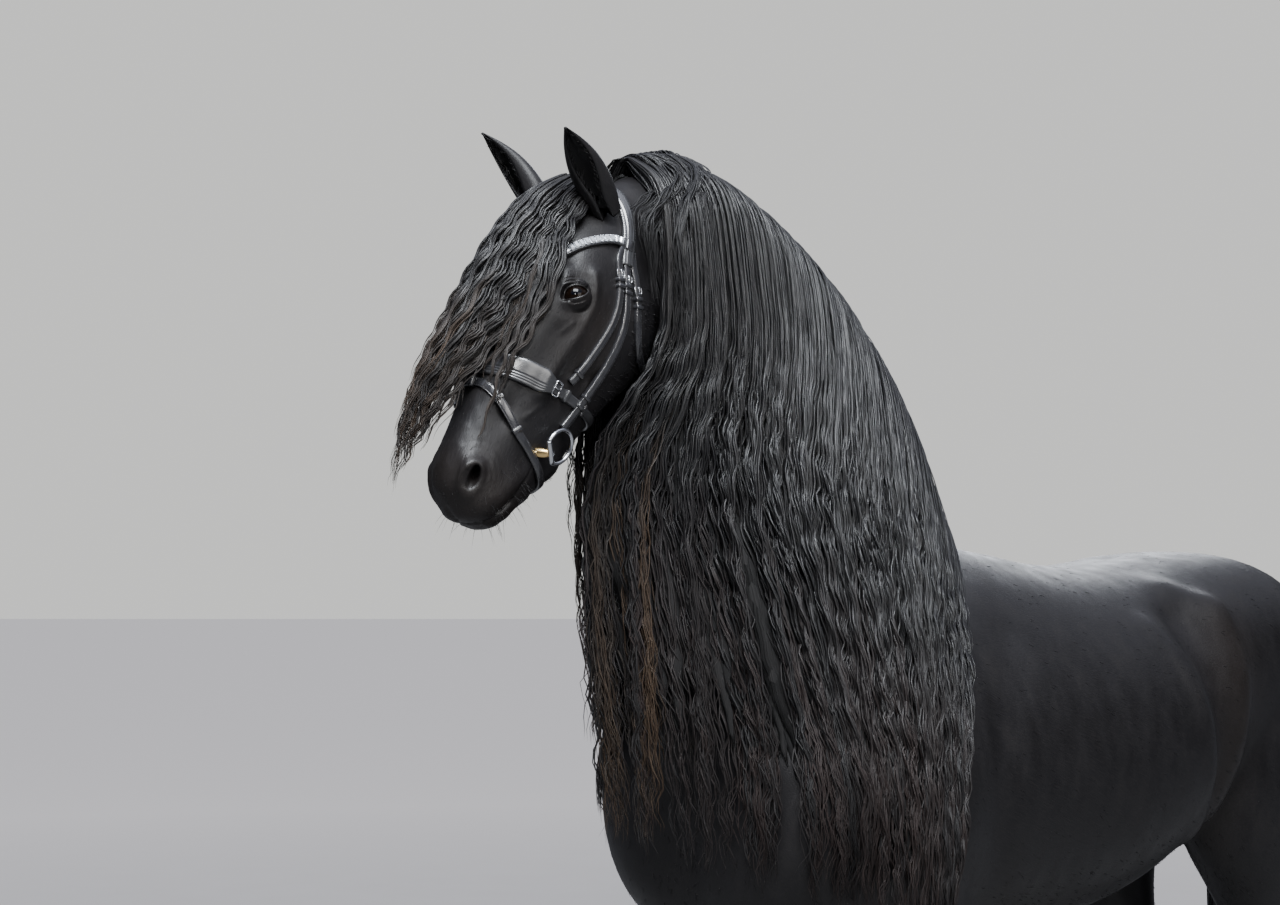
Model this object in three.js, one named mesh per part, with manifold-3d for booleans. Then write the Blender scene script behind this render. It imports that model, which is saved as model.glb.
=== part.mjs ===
// A life-size standing horse of the Friesian breed, black, with full mane,
// forelock, tail and leg feathering, and a dress bridle without reins.
//
// Frame: millimetres, +Z up, the horse faces -Y and its left side is +X. Each
// body form is a loft through named stations that are measured as on a live
// horse: `f` is the distance forward of the withers, `z` the height above the
// ground, `half` the half width. The finished group stands on z = 0, centred
// on its own outline.
import * as THREE from 'three';
import { mergeVertices } from 'three/addons/utils/BufferGeometryUtils.js';
import Module from 'manifold-3d';

const wasm = await Module();
wasm.setup();

// ---------------------------------------------------------------- dimensions
const WITHERS_Z = 1620;         // height at the withers
const BACK_Z = 1577;            // lowest point of the back
const CROUP_Z = 1612;           // top of the croup
const GIRTH_Z = 862;            // underside of the chest at the girth
const CHEST_HALF = 296;         // half width over the shoulders
const BARREL_HALF = 345;        // half width of the barrel
const BREAST_F = 632;           // breast, forward of the withers
const BUTTOCK_F = -1180;        // point of the buttock
const POLL_F = 792;             // poll, forward of the withers
const POLL_Z = 2160;
const HEAD_TILT = 28 * Math.PI / 180;   // long axis of the head from the plumb
const NECK_TURN = 4 * Math.PI / 180;    // neck turned to the horse's right
const EYE_R = 23;
const EAR_LENGTH = 150;
const NEAR_FORE_SHIFT = 10;     // stance: left fore, right fore, left hind,
const OFF_FORE_SHIFT = 78;      // right hind, forward of the square stance
const NEAR_HIND_SHIFT = -72;
const OFF_HIND_SHIFT = -28;
const GAP = 0.3;                // play between neighbouring solids
const TAIL_TIP_Z = 120;
const STRAP = 4;                // leather thickness

// ------------------------------------------------------------------- helpers
const lerp = (a, b, t) => a + (b - a) * t;
const smooth = (t) => { t = Math.min(1, Math.max(0, t)); return t * t * (3 - 2 * t); };

// Catmull-Rom through the rows of a table
function along(rows, u) {
  const n = rows.length;
  u = Math.min(Math.max(u, 0), n - 1 - 1e-9);
  const i = Math.floor(u), t = u - i;
  const row = (k) => {
    if (k < 0) return rows[0].map((v, j) => 2 * v - rows[1][j]);
    if (k > n - 1) return rows[n - 1].map((v, j) => 2 * v - rows[n - 2][j]);
    return rows[k];
  };
  const [a, b, c, d] = [row(i - 1), row(i), row(i + 1), row(i + 2)];
  return b.map((_, j) => 0.5 * (2 * b[j] + (c[j] - a[j]) * t
    + (2 * a[j] - 5 * b[j] + 4 * c[j] - d[j]) * t * t
    + (3 * b[j] - a[j] - 3 * c[j] + d[j]) * t * t * t));
}

// A point of a body loft. Columns: top f, top z, bottom f, bottom z, half
// width, height of the widest place (0 bottom, 1 top), fullness above and
// below it (1 an ellipse, less is squarer, more is peaked), centre x.
function loftPoint(rows, u, phi, grow = 0) {
  const [ft, zt, fb, zb, w, m, bt, bb, xc] = along(rows, u);
  const c = Math.cos(phi), s = Math.sin(phi);
  const len = Math.hypot(ft - fb, zt - zb) || 1;
  const df = (ft - fb) / len * grow, dz = (zt - zb) / len * grow;
  const cf = fb + (ft - fb) * m, cz = zb + (zt - zb) * m;
  const e = c >= 0 ? bt : bb;
  const tf = (c >= 0 ? ft + df : fb - df) - cf, tz = (c >= 0 ? zt + dz : zb - dz) - cz;
  const x = xc + (w + grow) * Math.sign(s) * Math.abs(s) ** e;
  return new THREE.Vector3(x, -(cf + tf * Math.abs(c)), cz + tz * Math.abs(c));
}

// A closed tube with `rings` steps from station to station and `sides` corners
function tube(sides, rings, point) {
  const g = new THREE.CylinderGeometry(1, 1, 1, sides, rings, false);
  const p = g.attributes.position;
  for (let i = 0; i < p.count; i++) {
    const x = p.getX(i), z = p.getZ(i), v = 0.5 - p.getY(i);
    const r = Math.hypot(x, z);
    let q;
    if (r < 0.5) {            // middle of an end cap
      q = new THREE.Vector3();
      for (let k = 0; k < sides; k++) q.add(point(Math.round(v), k / sides * 2 * Math.PI));
      q.divideScalar(sides);
    } else {
      const k = (Math.round(Math.atan2(x, z) / (2 * Math.PI) * sides) + sides) % sides;
      q = point(Math.round(v * rings) / rings, k / sides * 2 * Math.PI);
    }
    p.setXYZ(i, q.x, q.y, q.z);
  }
  return g;
}

// geometry -> solid, turned right side out when the mapping mirrored it
function solid(g) {
  g = g.clone();
  g.deleteAttribute('normal'); g.deleteAttribute('uv');
  g = mergeVertices(g, 1e-3);
  const p = g.attributes.position;
  let ix = Array.from(g.index.array);
  const keep = [];
  let vol = 0;
  const a = new THREE.Vector3(), b = new THREE.Vector3(), c = new THREE.Vector3();
  for (let i = 0; i < ix.length; i += 3) {
    const [i0, i1, i2] = [ix[i], ix[i + 1], ix[i + 2]];
    if (i0 === i1 || i1 === i2 || i0 === i2) continue;
    keep.push(i0, i1, i2);
    a.fromBufferAttribute(p, i0); b.fromBufferAttribute(p, i1); c.fromBufferAttribute(p, i2);
    vol += a.dot(b.cross(c));
  }
  if (vol < 0) for (let i = 0; i < keep.length; i += 3) [keep[i], keep[i + 1]] = [keep[i + 1], keep[i]];
  return new wasm.Manifold(new wasm.Mesh({ numProp: 3,
    vertProperties: new Float32Array(p.array), triVerts: new Uint32Array(keep) }));
}

// the largest connected body of a solid
function mainBody(m) {
  const parts = m.decompose();
  let best = parts[0];
  for (const q of parts) if (q.volume() > best.volume()) best = q;
  return best;
}

function geometry(m) {
  const mesh = m.getMesh();
  const g = new THREE.BufferGeometry();
  g.setAttribute('position', new THREE.BufferAttribute(new Float32Array(mesh.vertProperties), 3));
  g.setIndex(new THREE.BufferAttribute(new Uint32Array(mesh.triVerts), 1));
  return g;
}

// a box given by its middle, size and turn about X, as a solid
function block(cx, cy, cz, sx, sy, sz, rx = 0) {
  const g = new THREE.BoxGeometry(sx, sy, sz);
  g.rotateX(rx); g.translate(cx, cy, cz);
  return solid(g);
}

// The neck turn: everything forward and above the shoulders swings about a
// plumb axis through the base of the neck.
const TURN_AXIS_F = 250;
function posed(p) {
  const w = smooth(((p.y + 250) * -0.72 + (p.z - 1350) * 0.69) / 620);
  const th = -NECK_TURN * w, c = Math.cos(th), s = Math.sin(th);
  const y = p.y + TURN_AXIS_F;
  return new THREE.Vector3(p.x * c - y * s, p.x * s + y * c - TURN_AXIS_F, p.z);
}

// ------------------------------------------------------------ body stations
const TRUNK = [
  /* breast tip       */ [BREAST_F, 1200, BREAST_F, 1135, 40, .5, 1, 1, 0],
  /* breast           */ [BREAST_F - 16, 1330, BREAST_F - 30, 985, 200, .5, .85, .8, 0],
  /* point of shoulder*/ [532, 1420, 522, 912, 278, .5, .88, .72, 0],
  /* shoulder         */ [372, 1505, 350, 876, CHEST_HALF, .48, 1, .72, 0],
  /* elbow            */ [180, 1572, 180, GIRTH_Z + 2, CHEST_HALF + 2, .45, 1.15, .8, 0],
  /* girth            */ [0, WITHERS_Z - 3, 0, GIRTH_Z - 2, 306, .45, 1.25, .85, 0],
  /* back of withers  */ [-150, 1602, -150, GIRTH_Z + 2, 320, .46, 1.2, .9, 0],
  /* ribs             */ [-300, 1582, -300, 878, 338, .47, 1.1, .95, 0],
  /* last rib         */ [-455, BACK_Z, -455, 908, BARREL_HALF, .48, 1, .95, 0],
  /* loin             */ [-610, 1587, -605, 958, 330, .52, .9, .95, 0],
  /* hip              */ [-745, 1604, -735, 1010, 305, .58, .85, .95, 0],
  /* croup            */ [-890, CROUP_Z, -880, 1050, 302, .6, .85, .95, 0],
  /* dock             */ [-1022, 1598, -1012, 1080, 288, .62, .85, .95, 0],
  /* tail head        */ [-1120, 1532, -1115, 1115, 238, .6, .88, 1, 0],
  /* buttock          */ [-1168, 1436, BUTTOCK_F - 2, 1185, 145, .6, 1, 1, 0],
  /* buttock tip      */ [-1182, 1340, BUTTOCK_F - 8, 1275, 30, .5, 1, 1, 0],
];
const NECK = [
  /* withers      */ [-120, 1590, 500, 1020, 230, .45, 1.5, .9, 0],
  /* neck base    */ [-40, 1628, 565, 1120, 215, .45, 1.5, .9, 0],
  /*              */ [55, 1738, 588, 1280, 178, .43, 1.45, .9, 0],
  /* lower neck   */ [142, 1872, 602, 1450, 144, .43, 1.35, .9, 0],
  /* middle       */ [262, 2008, 622, 1620, 120, .43, 1.3, .9, 0],
  /* upper neck   */ [415, 2122, 648, 1770, 103, .45, 1.2, .9, 0],
  /* crest        */ [580, 2196, 677, 1868, 94, .45, 1.1, .9, 0],
  /* poll         */ [722, 2214, 722, 1928, 88, .45, 1, .9, 0],
  /* inside skull */ [802, 2170, 792, 1950, 70, .5, 1, .9, 0],
];
// Head stations are given along the head's own long axis: s from the poll
// towards the lips, t from the axis towards the forehead.
const HEAD_ST = [
  /* nape         */ [-30, -20, -10, -90, 30, .5, 1, 1],
  /* poll         */ [-20, 12, 20, -130, 62, .55, .9, 1],
  /* ears         */ [40, 52, 60, -165, 80, .6, .8, 1],
  /* brow         */ [120, 88, 120, -190, 97, .66, .75, 1],
  /* eyes         */ [200, 104, 190, -200, 108, .7, .75, .9],
  /* cheek        */ [280, 98, 260, -178, 99, .7, .8, .8],
  /* face         */ [355, 90, 338, -146, 84, .66, .85, .8],
  /* bars         */ [432, 85, 418, -124, 69, .62, .85, .8],
  /* bit          */ [490, 84, 472, -112, 60, .6, .85, .8],
  /* nostrils     */ [541, 82, 524, -84, 61, .58, .85, .85],
  /* lips         */ [580, 66, 573, -64, 54, .52, .9, .9],
  /*              */ [600, 38, 601, -38, 35, .5, 1, 1],
  /* lip tip      */ [607, 12, 607, -10, 9, .5, 1, 1],
];
const HS = Math.sin(HEAD_TILT), HC = Math.cos(HEAD_TILT);
const headF = (s, t) => POLL_F + s * HS + t * HC;
const headZ = (s, t) => POLL_Z - s * HC + t * HS;
const HEAD = HEAD_ST.map(([s1, t1, s2, t2, ...r]) =>
  [headF(s1, t1), headZ(s1, t1), headF(s2, t2), headZ(s2, t2), ...r, 0]);
const onHead = (x, s, t) => posed(new THREE.Vector3(x, -headF(s, t), headZ(s, t)));

const HIND = [
  /* croup muscles */ [-640, 1430, -1110, 1380, 128, .5, .9, .9, 162],
  /* thigh         */ [-620, 1240, -1122, 1220, 128, .5, .9, .9, 172],
  /* stifle        */ [-628, 1040, -1085, 1050, 112, .5, .9, .9, 178],
  /*               */ [-745, 900, -1038, 900, 88, .5, .95, .95, 172],
  /* gaskin        */ [-868, 770, -1052, 780, 62, .5, 1, 1, 162],
  /*               */ [-978, 665, -1138, 672, 45, .5, 1, 1, 154],
  /* hock          */ [-1012, 580, -1160, 585, 51, .5, 1, 1, 150],
  /*               */ [-1045, 480, -1140, 480, 39, .5, 1, 1, 148],
  /* cannon        */ [-1055, 350, -1130, 350, 31, .5, 1, 1, 148],
  /* fetlock       */ [-1040, 215, -1135, 205, 44, .5, 1, 1, 148],
  /* pastern       */ [-1008, 150, -1088, 128, 38, .5, 1, 1, 148],
  /* coronet       */ [-952, 102, -1072, 84, 57, .5, 1, 1, 148],
  /* in the hoof   */ [-948, 60, -1062, 50, 52, .5, 1, 1, 148],
];
const FORE = [
  /* upper arm */ [440, 1120, 130, 1100, 112, .5, .9, .9, 170],
  /* elbow     */ [375, 975, 120, 960, 94, .5, .9, .9, 172],
  /* forearm   */ [335, 840, 160, 840, 73, .5, 1, 1, 170],
  /*           */ [318, 710, 190, 710, 58, .5, 1, 1, 166],
  /*           */ [311, 585, 208, 585, 47, .5, 1, 1, 162],
  /* knee      */ [318, 505, 205, 502, 56, .5, 1, 1, 160],
  /*           */ [300, 425, 210, 425, 42, .5, 1, 1, 159],
  /* cannon    */ [289, 320, 216, 320, 31, .5, 1, 1, 158],
  /* fetlock   */ [302, 208, 206, 202, 44, .5, 1, 1, 158],
  /* pastern   */ [322, 150, 246, 130, 38, .5, 1, 1, 158],
  /* coronet   */ [372, 102, 252, 84, 57, .5, 1, 1, 158],
  /* in the hoof*/[376, 60, 262, 50, 52, .5, 1, 1, 158],
];
// a leg table for one side, with the foot `shift` mm further forward
function legRows(rows, side, shift) {
  return rows.map(([ft, zt, fb, zb, w, m, bt, bb, xc]) =>
    [ft + shift, zt, fb + shift, zb, w, m, bt, bb, side * xc]);
}

const loftSolid = (rows, sides, rings, grow = 0, pose = false) =>
  solid(tube(sides, rings, (v, phi) => {
    const p = loftPoint(rows, v * (rows.length - 1), phi, grow);
    return pose ? posed(p) : p;
  }));

// facets round and along each form
const FINE = { trunk: [16, 15], neck: [14, 9], head: [14, 12], leg: [8, 13] };

// ---------------------------------------------------------------- flesh mass
const legs = {
  foreleg_left: { rows: legRows(FORE, 1, NEAR_FORE_SHIFT), fore: true, side: 1, mid: 255 + NEAR_FORE_SHIFT },
  foreleg_right: { rows: legRows(FORE, -1, OFF_FORE_SHIFT), fore: true, side: -1, mid: 255 + OFF_FORE_SHIFT },
  hindleg_left: { rows: legRows(HIND, 1, NEAR_HIND_SHIFT), fore: false, side: 1 },
  hindleg_right: { rows: legRows(HIND, -1, OFF_HIND_SHIFT), fore: false, side: -1 },
};
const trunkLoft = loftSolid(TRUNK, ...FINE.trunk);
const neckLoft = loftSolid(NECK, ...FINE.neck, 0, true);
const headLoft = loftSolid(HEAD, ...FINE.head, 0, true);
let flesh = trunkLoft.add(neckLoft).add(headLoft);
for (const leg of Object.values(legs)) flesh = flesh.add(loftSolid(leg.rows, ...FINE.leg));

// the same forms a little larger, to part hair and leather from the body
function grown(g) {
  return loftSolid(TRUNK, ...FINE.trunk, g).add(loftSolid(NECK, ...FINE.neck, g, true)).add(loftSolid(HEAD, ...FINE.head, g, true));
}
const bodyPlus = grown(1.2);

// ---------------------------------------------------------------- nodes
const COAT = { color: 0x1b1917, roughness: 0.55, metalness: 0 };
const HAIR = { color: 0x211d1b, roughness: 0.5, metalness: 0 };
const LEATHER = { color: 0x15151a, roughness: 0.3, metalness: 0 };
const STEEL = { color: 0xd8d8dc, roughness: 0.12, metalness: 1 };
const CRYSTAL = { color: 0xe8f0ff, roughness: 0.05, metalness: 0 };
const HORN = { color: 0x24211f, roughness: 0.4, metalness: 0 };
const EYE = { color: 0x0b0705, roughness: 0.05, metalness: 0 };
const nodes = [];
function node(name, m, look) {
  const g = geometry(mainBody(m));
  const mesh = new THREE.Mesh(g, new THREE.MeshStandardMaterial(look));
  mesh.name = name;
  nodes.push(mesh);
}

// --- regions of the flesh, parted by thin plane cuts
const BIG = 4000;
const half = GAP / 2;
// head: everything forward of an upright plane at the throatlatch
const HEAD_CUT_F = 700;
function posedBlock(x0, x1, f0, f1, z0, z1) {
  // a block in the straight neck's frame, swung with the neck
  const g = new THREE.BoxGeometry(x1 - x0, f1 - f0, z1 - z0);
  g.translate((x0 + x1) / 2, -(f0 + f1) / 2, (z0 + z1) / 2);
  const p = g.attributes.position;
  for (let i = 0; i < p.count; i++) {
    const c = Math.cos(-NECK_TURN), s = Math.sin(-NECK_TURN);
    const x = p.getX(i), y = p.getY(i) + TURN_AXIS_F;
    p.setXYZ(i, x * c - y * s, x * s + y * c - TURN_AXIS_F, p.getZ(i));
  }
  return solid(g);
}
const headZone = posedBlock(-900, 900, HEAD_CUT_F, 2000, 1480, 2600);
const headZoneOut = posedBlock(-900, 900, HEAD_CUT_F - GAP, 2000, 1480, 2600);
// neck: above a slanted plane from the withers to the top of the breast
const NECK_CUT = { f: 285, z: 1425, tilt: Math.atan2(1605 - 1265, 560) };
function slantBlock(lift) {
  const g = new THREE.BoxGeometry(BIG, BIG, 2000);
  g.translate(0, 0, 1000 + lift);
  g.rotateX(NECK_CUT.tilt);            // higher towards the tail
  g.translate(0, -NECK_CUT.f, NECK_CUT.z);
  return solid(g);
}
// behind the withers the slanted zone ends at an upright plane
const neckLimit = block(0, -1000 + 40, 1700, BIG, 2000, 2400);
const neckLimitOut = block(0, -1000 + 40 + GAP, 1700, BIG, 2000, 2400);
const neckRegion = slantBlock(half).intersect(neckLimit);
const neckRegionOut = slantBlock(-half).intersect(neckLimitOut);

const fleshHead = flesh.intersect(headZone);
const afterHead = flesh.subtract(headZoneOut);
const fleshNeck = afterHead.intersect(neckRegion);
let rest = afterHead.subtract(neckRegionOut);

const FORE_CUT_Z = 968, FORE_IN_X = 62;
const legNodes = {};
for (const [name, leg] of Object.entries(legs)) {
  const s = leg.side;
  const zone = (g) => leg.fore
    ? block(s * (FORE_IN_X - g + 1000), -leg.mid, FORE_CUT_Z / 2 - 100 + g / 2, 2000, 400 + 2 * g, FORE_CUT_Z + 200 + g)
    : block(s * (20 - g + 1000), 1430 - g, 560 + g, 2000, 1900, 1180, 0.42);
  legNodes[name] = rest.intersect(zone(0));
  rest = rest.subtract(zone(GAP));
}
const fleshTrunk = rest;

// --- eyes, seated in round sockets
const EYES = { eye_left: 1, eye_right: -1 };
const EYE_AT = { x: 88, s: 220, t: 28 };
let headSolid = fleshHead;
for (const [name, side] of Object.entries(EYES)) {
  const c = onHead(side * EYE_AT.x, EYE_AT.s, EYE_AT.t);
  const ball = (r) => { const g = new THREE.SphereGeometry(r, 10, 7); g.translate(c.x, c.y, c.z); return solid(g); };
  headSolid = headSolid.subtract(ball(EYE_R + 0.5));
  node(name, ball(EYE_R), EYE);
}

// --- ears: a leaf-shaped cup on an upright axis, open to the front
const EAR = [
  // along the ear: half width, half depth
  /* root  */ { w: 26, d: 22 },
  /*       */ { w: 32, d: 25 },
  /* belly */ { w: 33, d: 23 },
  /*       */ { w: 29, d: 18 },
  /*       */ { w: 19, d: 11 },
  /* tip   */ { w: 4, d: 3 },
];
const EAR_ROOT = { x: 74, s: 44, t: 44 };
const EAR_UP = { 1: [0.25, -0.72, 0.65], '-1': [0.50, -0.40, 0.85] };   // left, right
const EAR_FRONT = { 1: [0.62, -0.7, -0.3], '-1': [0.05, -0.95, -0.3] };  // the way each cup opens
const EAR_RAISED = { 1: 4, '-1': 24 };  // the right ear is carried higher
const earUp = (side) => new THREE.Vector3(side * EAR_UP[side][0], EAR_UP[side][1], EAR_UP[side][2]).normalize();
function earSolid(side, shrink, scoop) {
  const root = new THREE.Vector3(side * EAR_ROOT.x, -headF(EAR_ROOT.s, EAR_ROOT.t), headZ(EAR_ROOT.s, EAR_ROOT.t));
  const up = earUp(side);
  const front = new THREE.Vector3(side * EAR_FRONT[side][0], EAR_FRONT[side][1], EAR_FRONT[side][2]);
  front.addScaledVector(up, -front.dot(up)).normalize();
  const across = new THREE.Vector3().crossVectors(up, front);
  const rows = EAR.map((e) => [e.w, e.d]);
  return solid(tube(9, 6, (v, phi) => {
    const k = v * 0.995;
    const [w, d] = along(rows, k * (rows.length - 1));
    const L = EAR_LENGTH + 28;
    const lean = 10 * Math.sin(k * Math.PI);       // bows out, then in to the tip
    const h = -28 + EAR_RAISED[side] + L * k;
    const a = Math.sin(phi) * Math.max(w - shrink, 1.2), b = Math.cos(phi) * Math.max(d - shrink, 1.2) + scoop;
    const p = root.clone().addScaledVector(up, h).addScaledVector(across, a)
      .addScaledVector(front, b - lean);
    return posed(p);
  }));
}
for (const [name, side] of [['ear_left', 1], ['ear_right', -1]]) {
  const whole = earSolid(side, 0, 0);
  const hollow = earSolid(side, 6, 12).intersect(
    // the cup starts above the root
    solid(tube(8, 1, (v, phi) => onHead(side * EAR_ROOT.x, EAR_ROOT.s, EAR_ROOT.t)
      .add(earUp(side).multiplyScalar(34 + 200 * v))
      .add(new THREE.Vector3(Math.cos(phi) * 120, Math.sin(phi) * 120, 0)))));
  const ear = whole.subtract(hollow);
  node(name, ear.subtract(grownHead(GAP)), COAT);
}
function grownHead(g) {
  return loftSolid(NECK, ...FINE.neck, g, true).add(loftSolid(HEAD, ...FINE.head, g, true));
}

node('head', headSolid, COAT);
node('neck', fleshNeck, COAT);
node('trunk', fleshTrunk, COAT);

// --- hooves: a slanted cone with a flat sole, under a slanted coronet
function hoofSolid(leg, grow = 0) {
  const rows = leg.rows;
  const [ft, zt, fb, zb, w, , , , xc] = rows[rows.length - 2];
  const cf = (ft + fb) / 2, cz = (zt + zb) / 2;
  return solid(tube(12, 1, (v, phi) => {
    const c = Math.cos(phi), s = Math.sin(phi);
    const top = { f: cf + (ft - fb) / 2 * 1.04 * c, z: cz + (zt - zb) / 2 * c - 2, x: xc + s * (w + 3) };
    const toe = c > 0 ? 84 : 66;
    const bottom = { f: cf + 22 + toe * c, z: 0, x: xc + s * (w + 13) };
    // a grown hoof runs on a little past both ends, along the same wall
    const k = grow ? lerp(-0.02, 1.01, v) : v;
    return new THREE.Vector3(lerp(top.x, bottom.x, k) + s * grow, -(lerp(top.f, bottom.f, k) + c * grow),
      lerp(top.z, bottom.z, k));
  }));
}
const hooves = {};
for (const [name, leg] of Object.entries(legs)) {
  const hoof = hoofSolid(leg);
  hooves[name] = hoof;
  node('hoof_' + name.replace('leg', ''), hoof, HORN);
  // the leg ends on the hoof's slanted top face
  const [ft, zt, fb, zb, , , , , xc] = leg.rows[leg.rows.length - 2];
  const ang = Math.atan2(zt - zb, ft - fb);
  const g = new THREE.BoxGeometry(400, 400, 400);
  g.translate(0, 0, -200 - 2 + 0.4);
  g.rotateX(-ang);
  g.translate(xc, -(ft + fb) / 2, (zt + zb) / 2);
  legNodes[name] = legNodes[name].subtract(solid(g));
  node(name, legNodes[name], COAT);
}

// --- feather: long hair from below the knee or hock, falling over the hoof
const FEATHER = [
  // height, front, back, side: how far the hair stands off the leg
  { z: 430, front: 4, back: 14, side: 6 },
  { z: 330, front: 9, back: 40, side: 18 },
  { z: 230, front: 16, back: 54, side: 30 },
  { z: 130, front: 20, back: 50, side: 38 },
  { z: 60, front: 18, back: 50, side: 40 },
  { z: 18, front: 8, back: 42, side: 32 },
];
function legSection(rows, z) {
  // front f, back f and half width of a leg loft at one height
  let best = { d: 1e9 }, bestB = { d: 1e9 };
  for (let i = 0; i <= 240; i++) {
    const r = along(rows, i / 240 * (rows.length - 1));
    if (Math.abs(r[1] - z) < best.d) best = { d: Math.abs(r[1] - z), f: r[0], w: r[4], x: r[8] };
    if (Math.abs(r[3] - z) < bestB.d) bestB = { d: Math.abs(r[3] - z), f: r[2] };
  }
  return { front: best.f, back: bestB.f, w: best.w, x: best.x };
}
for (const [name, leg] of Object.entries(legs)) {
  const rows = FEATHER.map((e) => {
    const q = legSection(leg.rows, Math.max(e.z, 84));
    const low = Math.max(0, (100 - e.z) / 100);
    return [q.front + e.front + low * 44, e.z + 8, q.back - e.back + low * 14, e.z - 8, q.w + e.side + low * 10, .5, .95, .95, q.x];
  });
  const hair = loftSolid(rows, 8, 5);
  const inner = loftSolid(leg.rows, ...FINE.leg, 0.5);
  const m = hair.subtract(inner).subtract(hoofSolid(leg, 0.6));
  const floor = block(0, 0, -50 + 5, BIG, BIG, 100);
  node('feather_' + name.replace('leg', ''), m.subtract(floor), HAIR);
}

// --- tail: from the dock, falling full and straight to the fetlocks
const TAIL = [
  /* dock      */ [-1092, 1545, -1110, 1440, 42, .5, 1, 1, 0],
  /*           */ [-1150, 1560, -1150, 1425, 52, .5, 1, 1, 0],
  /* arch      */ [-1208, 1505, -1168, 1395, 60, .5, 1, 1, 0],
  /*           */ [-1262, 1385, -1186, 1330, 76, .5, 1, 1, 0],
  /* switch    */ [-1298, 1180, -1196, 1150, 104, .5, 1, 1, 0],
  /*           */ [-1322, 900, -1196, 890, 132, .5, 1, 1, 0],
  /* widest    */ [-1330, 600, -1190, 590, 142, .5, 1, 1, 0],
  /*           */ [-1312, 340, -1192, 335, 122, .5, 1, 1, 0],
  /*           */ [-1282, 190, -1206, 190, 76, .5, 1, 1, 0],
  /* tip       */ [-1258, TAIL_TIP_Z, -1232, TAIL_TIP_Z + 2, 20, .5, 1, 1, 0],
];
{
  const gapper = loftSolid(TRUNK, ...FINE.trunk, 0.6)
    .add(loftSolid(legs.hindleg_left.rows, ...FINE.leg, 0.6)).add(loftSolid(legs.hindleg_right.rows, ...FINE.leg, 0.6));
  node('tail', loftSolid(TAIL, 10, 11).subtract(gapper), HAIR);
}

// --- leather: a strap is a flat band along a path on the head
// A path station is [u, phi]: u along the head's stations, phi in degrees from
// the forehead line down the side (positive left) to the jaw line.
function headSurface(u, phiDeg, lift) {
  const phi = phiDeg * Math.PI / 180;
  const p = loftPoint(HEAD, u, phi);
  const e = 0.02;
  const pu = loftPoint(HEAD, Math.min(u + e, 11.9), phi).sub(loftPoint(HEAD, Math.max(u - e, 0.1), phi));
  const pp = loftPoint(HEAD, u, phi + e).sub(loftPoint(HEAD, u, phi - e));
  const n = pu.cross(pp).normalize();
  const mid = loftPoint(HEAD, u, 0).add(loftPoint(HEAD, u, Math.PI)).multiplyScalar(0.5);
  if (n.dot(p.clone().sub(mid)) < 0) n.negate();
  return { p: p.addScaledVector(n, lift), n };
}
function strapSolid(path, width, steps, { closed = false, thick = STRAP, lift = 0, deep = 7, grow = 0 } = {}) {
  const pts = path.map(([u, phi, up]) => headSurface(u, phi, up || 0));
  if (closed) pts.push(pts[0]);
  const curve = new THREE.CatmullRomCurve3((closed ? pts.slice(0, -1) : pts).map((q) => q.p), closed, 'centripetal');
  const ncurve = new THREE.CatmullRomCurve3((closed ? pts.slice(0, -1) : pts).map((q) => q.n.clone().multiplyScalar(100)), closed, 'centripetal');
  const section = [[-0.5, 0], [-0.5, 1], [0.5, 1], [0.5, 0]];
  const at = (t, k) => {
    const c = curve.getPoint(t), tan = curve.getTangent(t), n = ncurve.getPoint(t).normalize();
    n.addScaledVector(tan, -n.dot(tan)).normalize();
    const b = new THREE.Vector3().crossVectors(n, tan);
    const [sx, sn] = section[k];
    return posed(c.addScaledVector(b, sx * (width + 2 * grow)).addScaledVector(n, sn ? lift + thick + grow : lift - deep - grow));
  };
  let g;
  if (closed) {
    g = new THREE.TorusGeometry(2, 1, 4, steps);
    const p = g.attributes.position;
    for (let i = 0; i < p.count; i++) {
      const x = p.getX(i), y = p.getY(i), z = p.getZ(i);
      const t = ((Math.round(Math.atan2(y, x) / (2 * Math.PI) * steps) + steps) % steps) / steps;
      const k = Math.round((Math.atan2(z, Math.hypot(x, y) - 2) / (Math.PI / 2)) + 4) % 4;
      const q = at(t, k);
      p.setXYZ(i, q.x, q.y, q.z);
    }
  } else {
    g = tube(4, steps, (v, phi) => at(v, Math.round(phi / (Math.PI / 2) + 4) % 4));
  }
  return solid(g);
}
const headPlus = grownHead(0.8);
// noseband: padded, round the nose and under the jaw
const NOSE_U = 6.2;
const nosePath = [];
for (let i = 0; i < 16; i++) {
  const phi = i / 16 * 360;
  nosePath.push([NOSE_U, phi]);
}
const parts = [];
parts.push(['noseband', [nosePath, 40, 14, { closed: true, thick: 9 }], LEATHER]);
// flash strap: from the front of the noseband, before the bit, under the chin
const flashPath = [];
for (let i = 0; i < 16; i++) {
  const phi = i / 16 * 360;
  const k = Math.sin(phi / 2 * Math.PI / 180);
  flashPath.push([NOSE_U + 0.42 + 1.8 * k * k, phi]);
}
parts.push(['flash_strap', [flashPath, 17, 14, { closed: true, thick: 6 }], LEATHER]);
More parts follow.
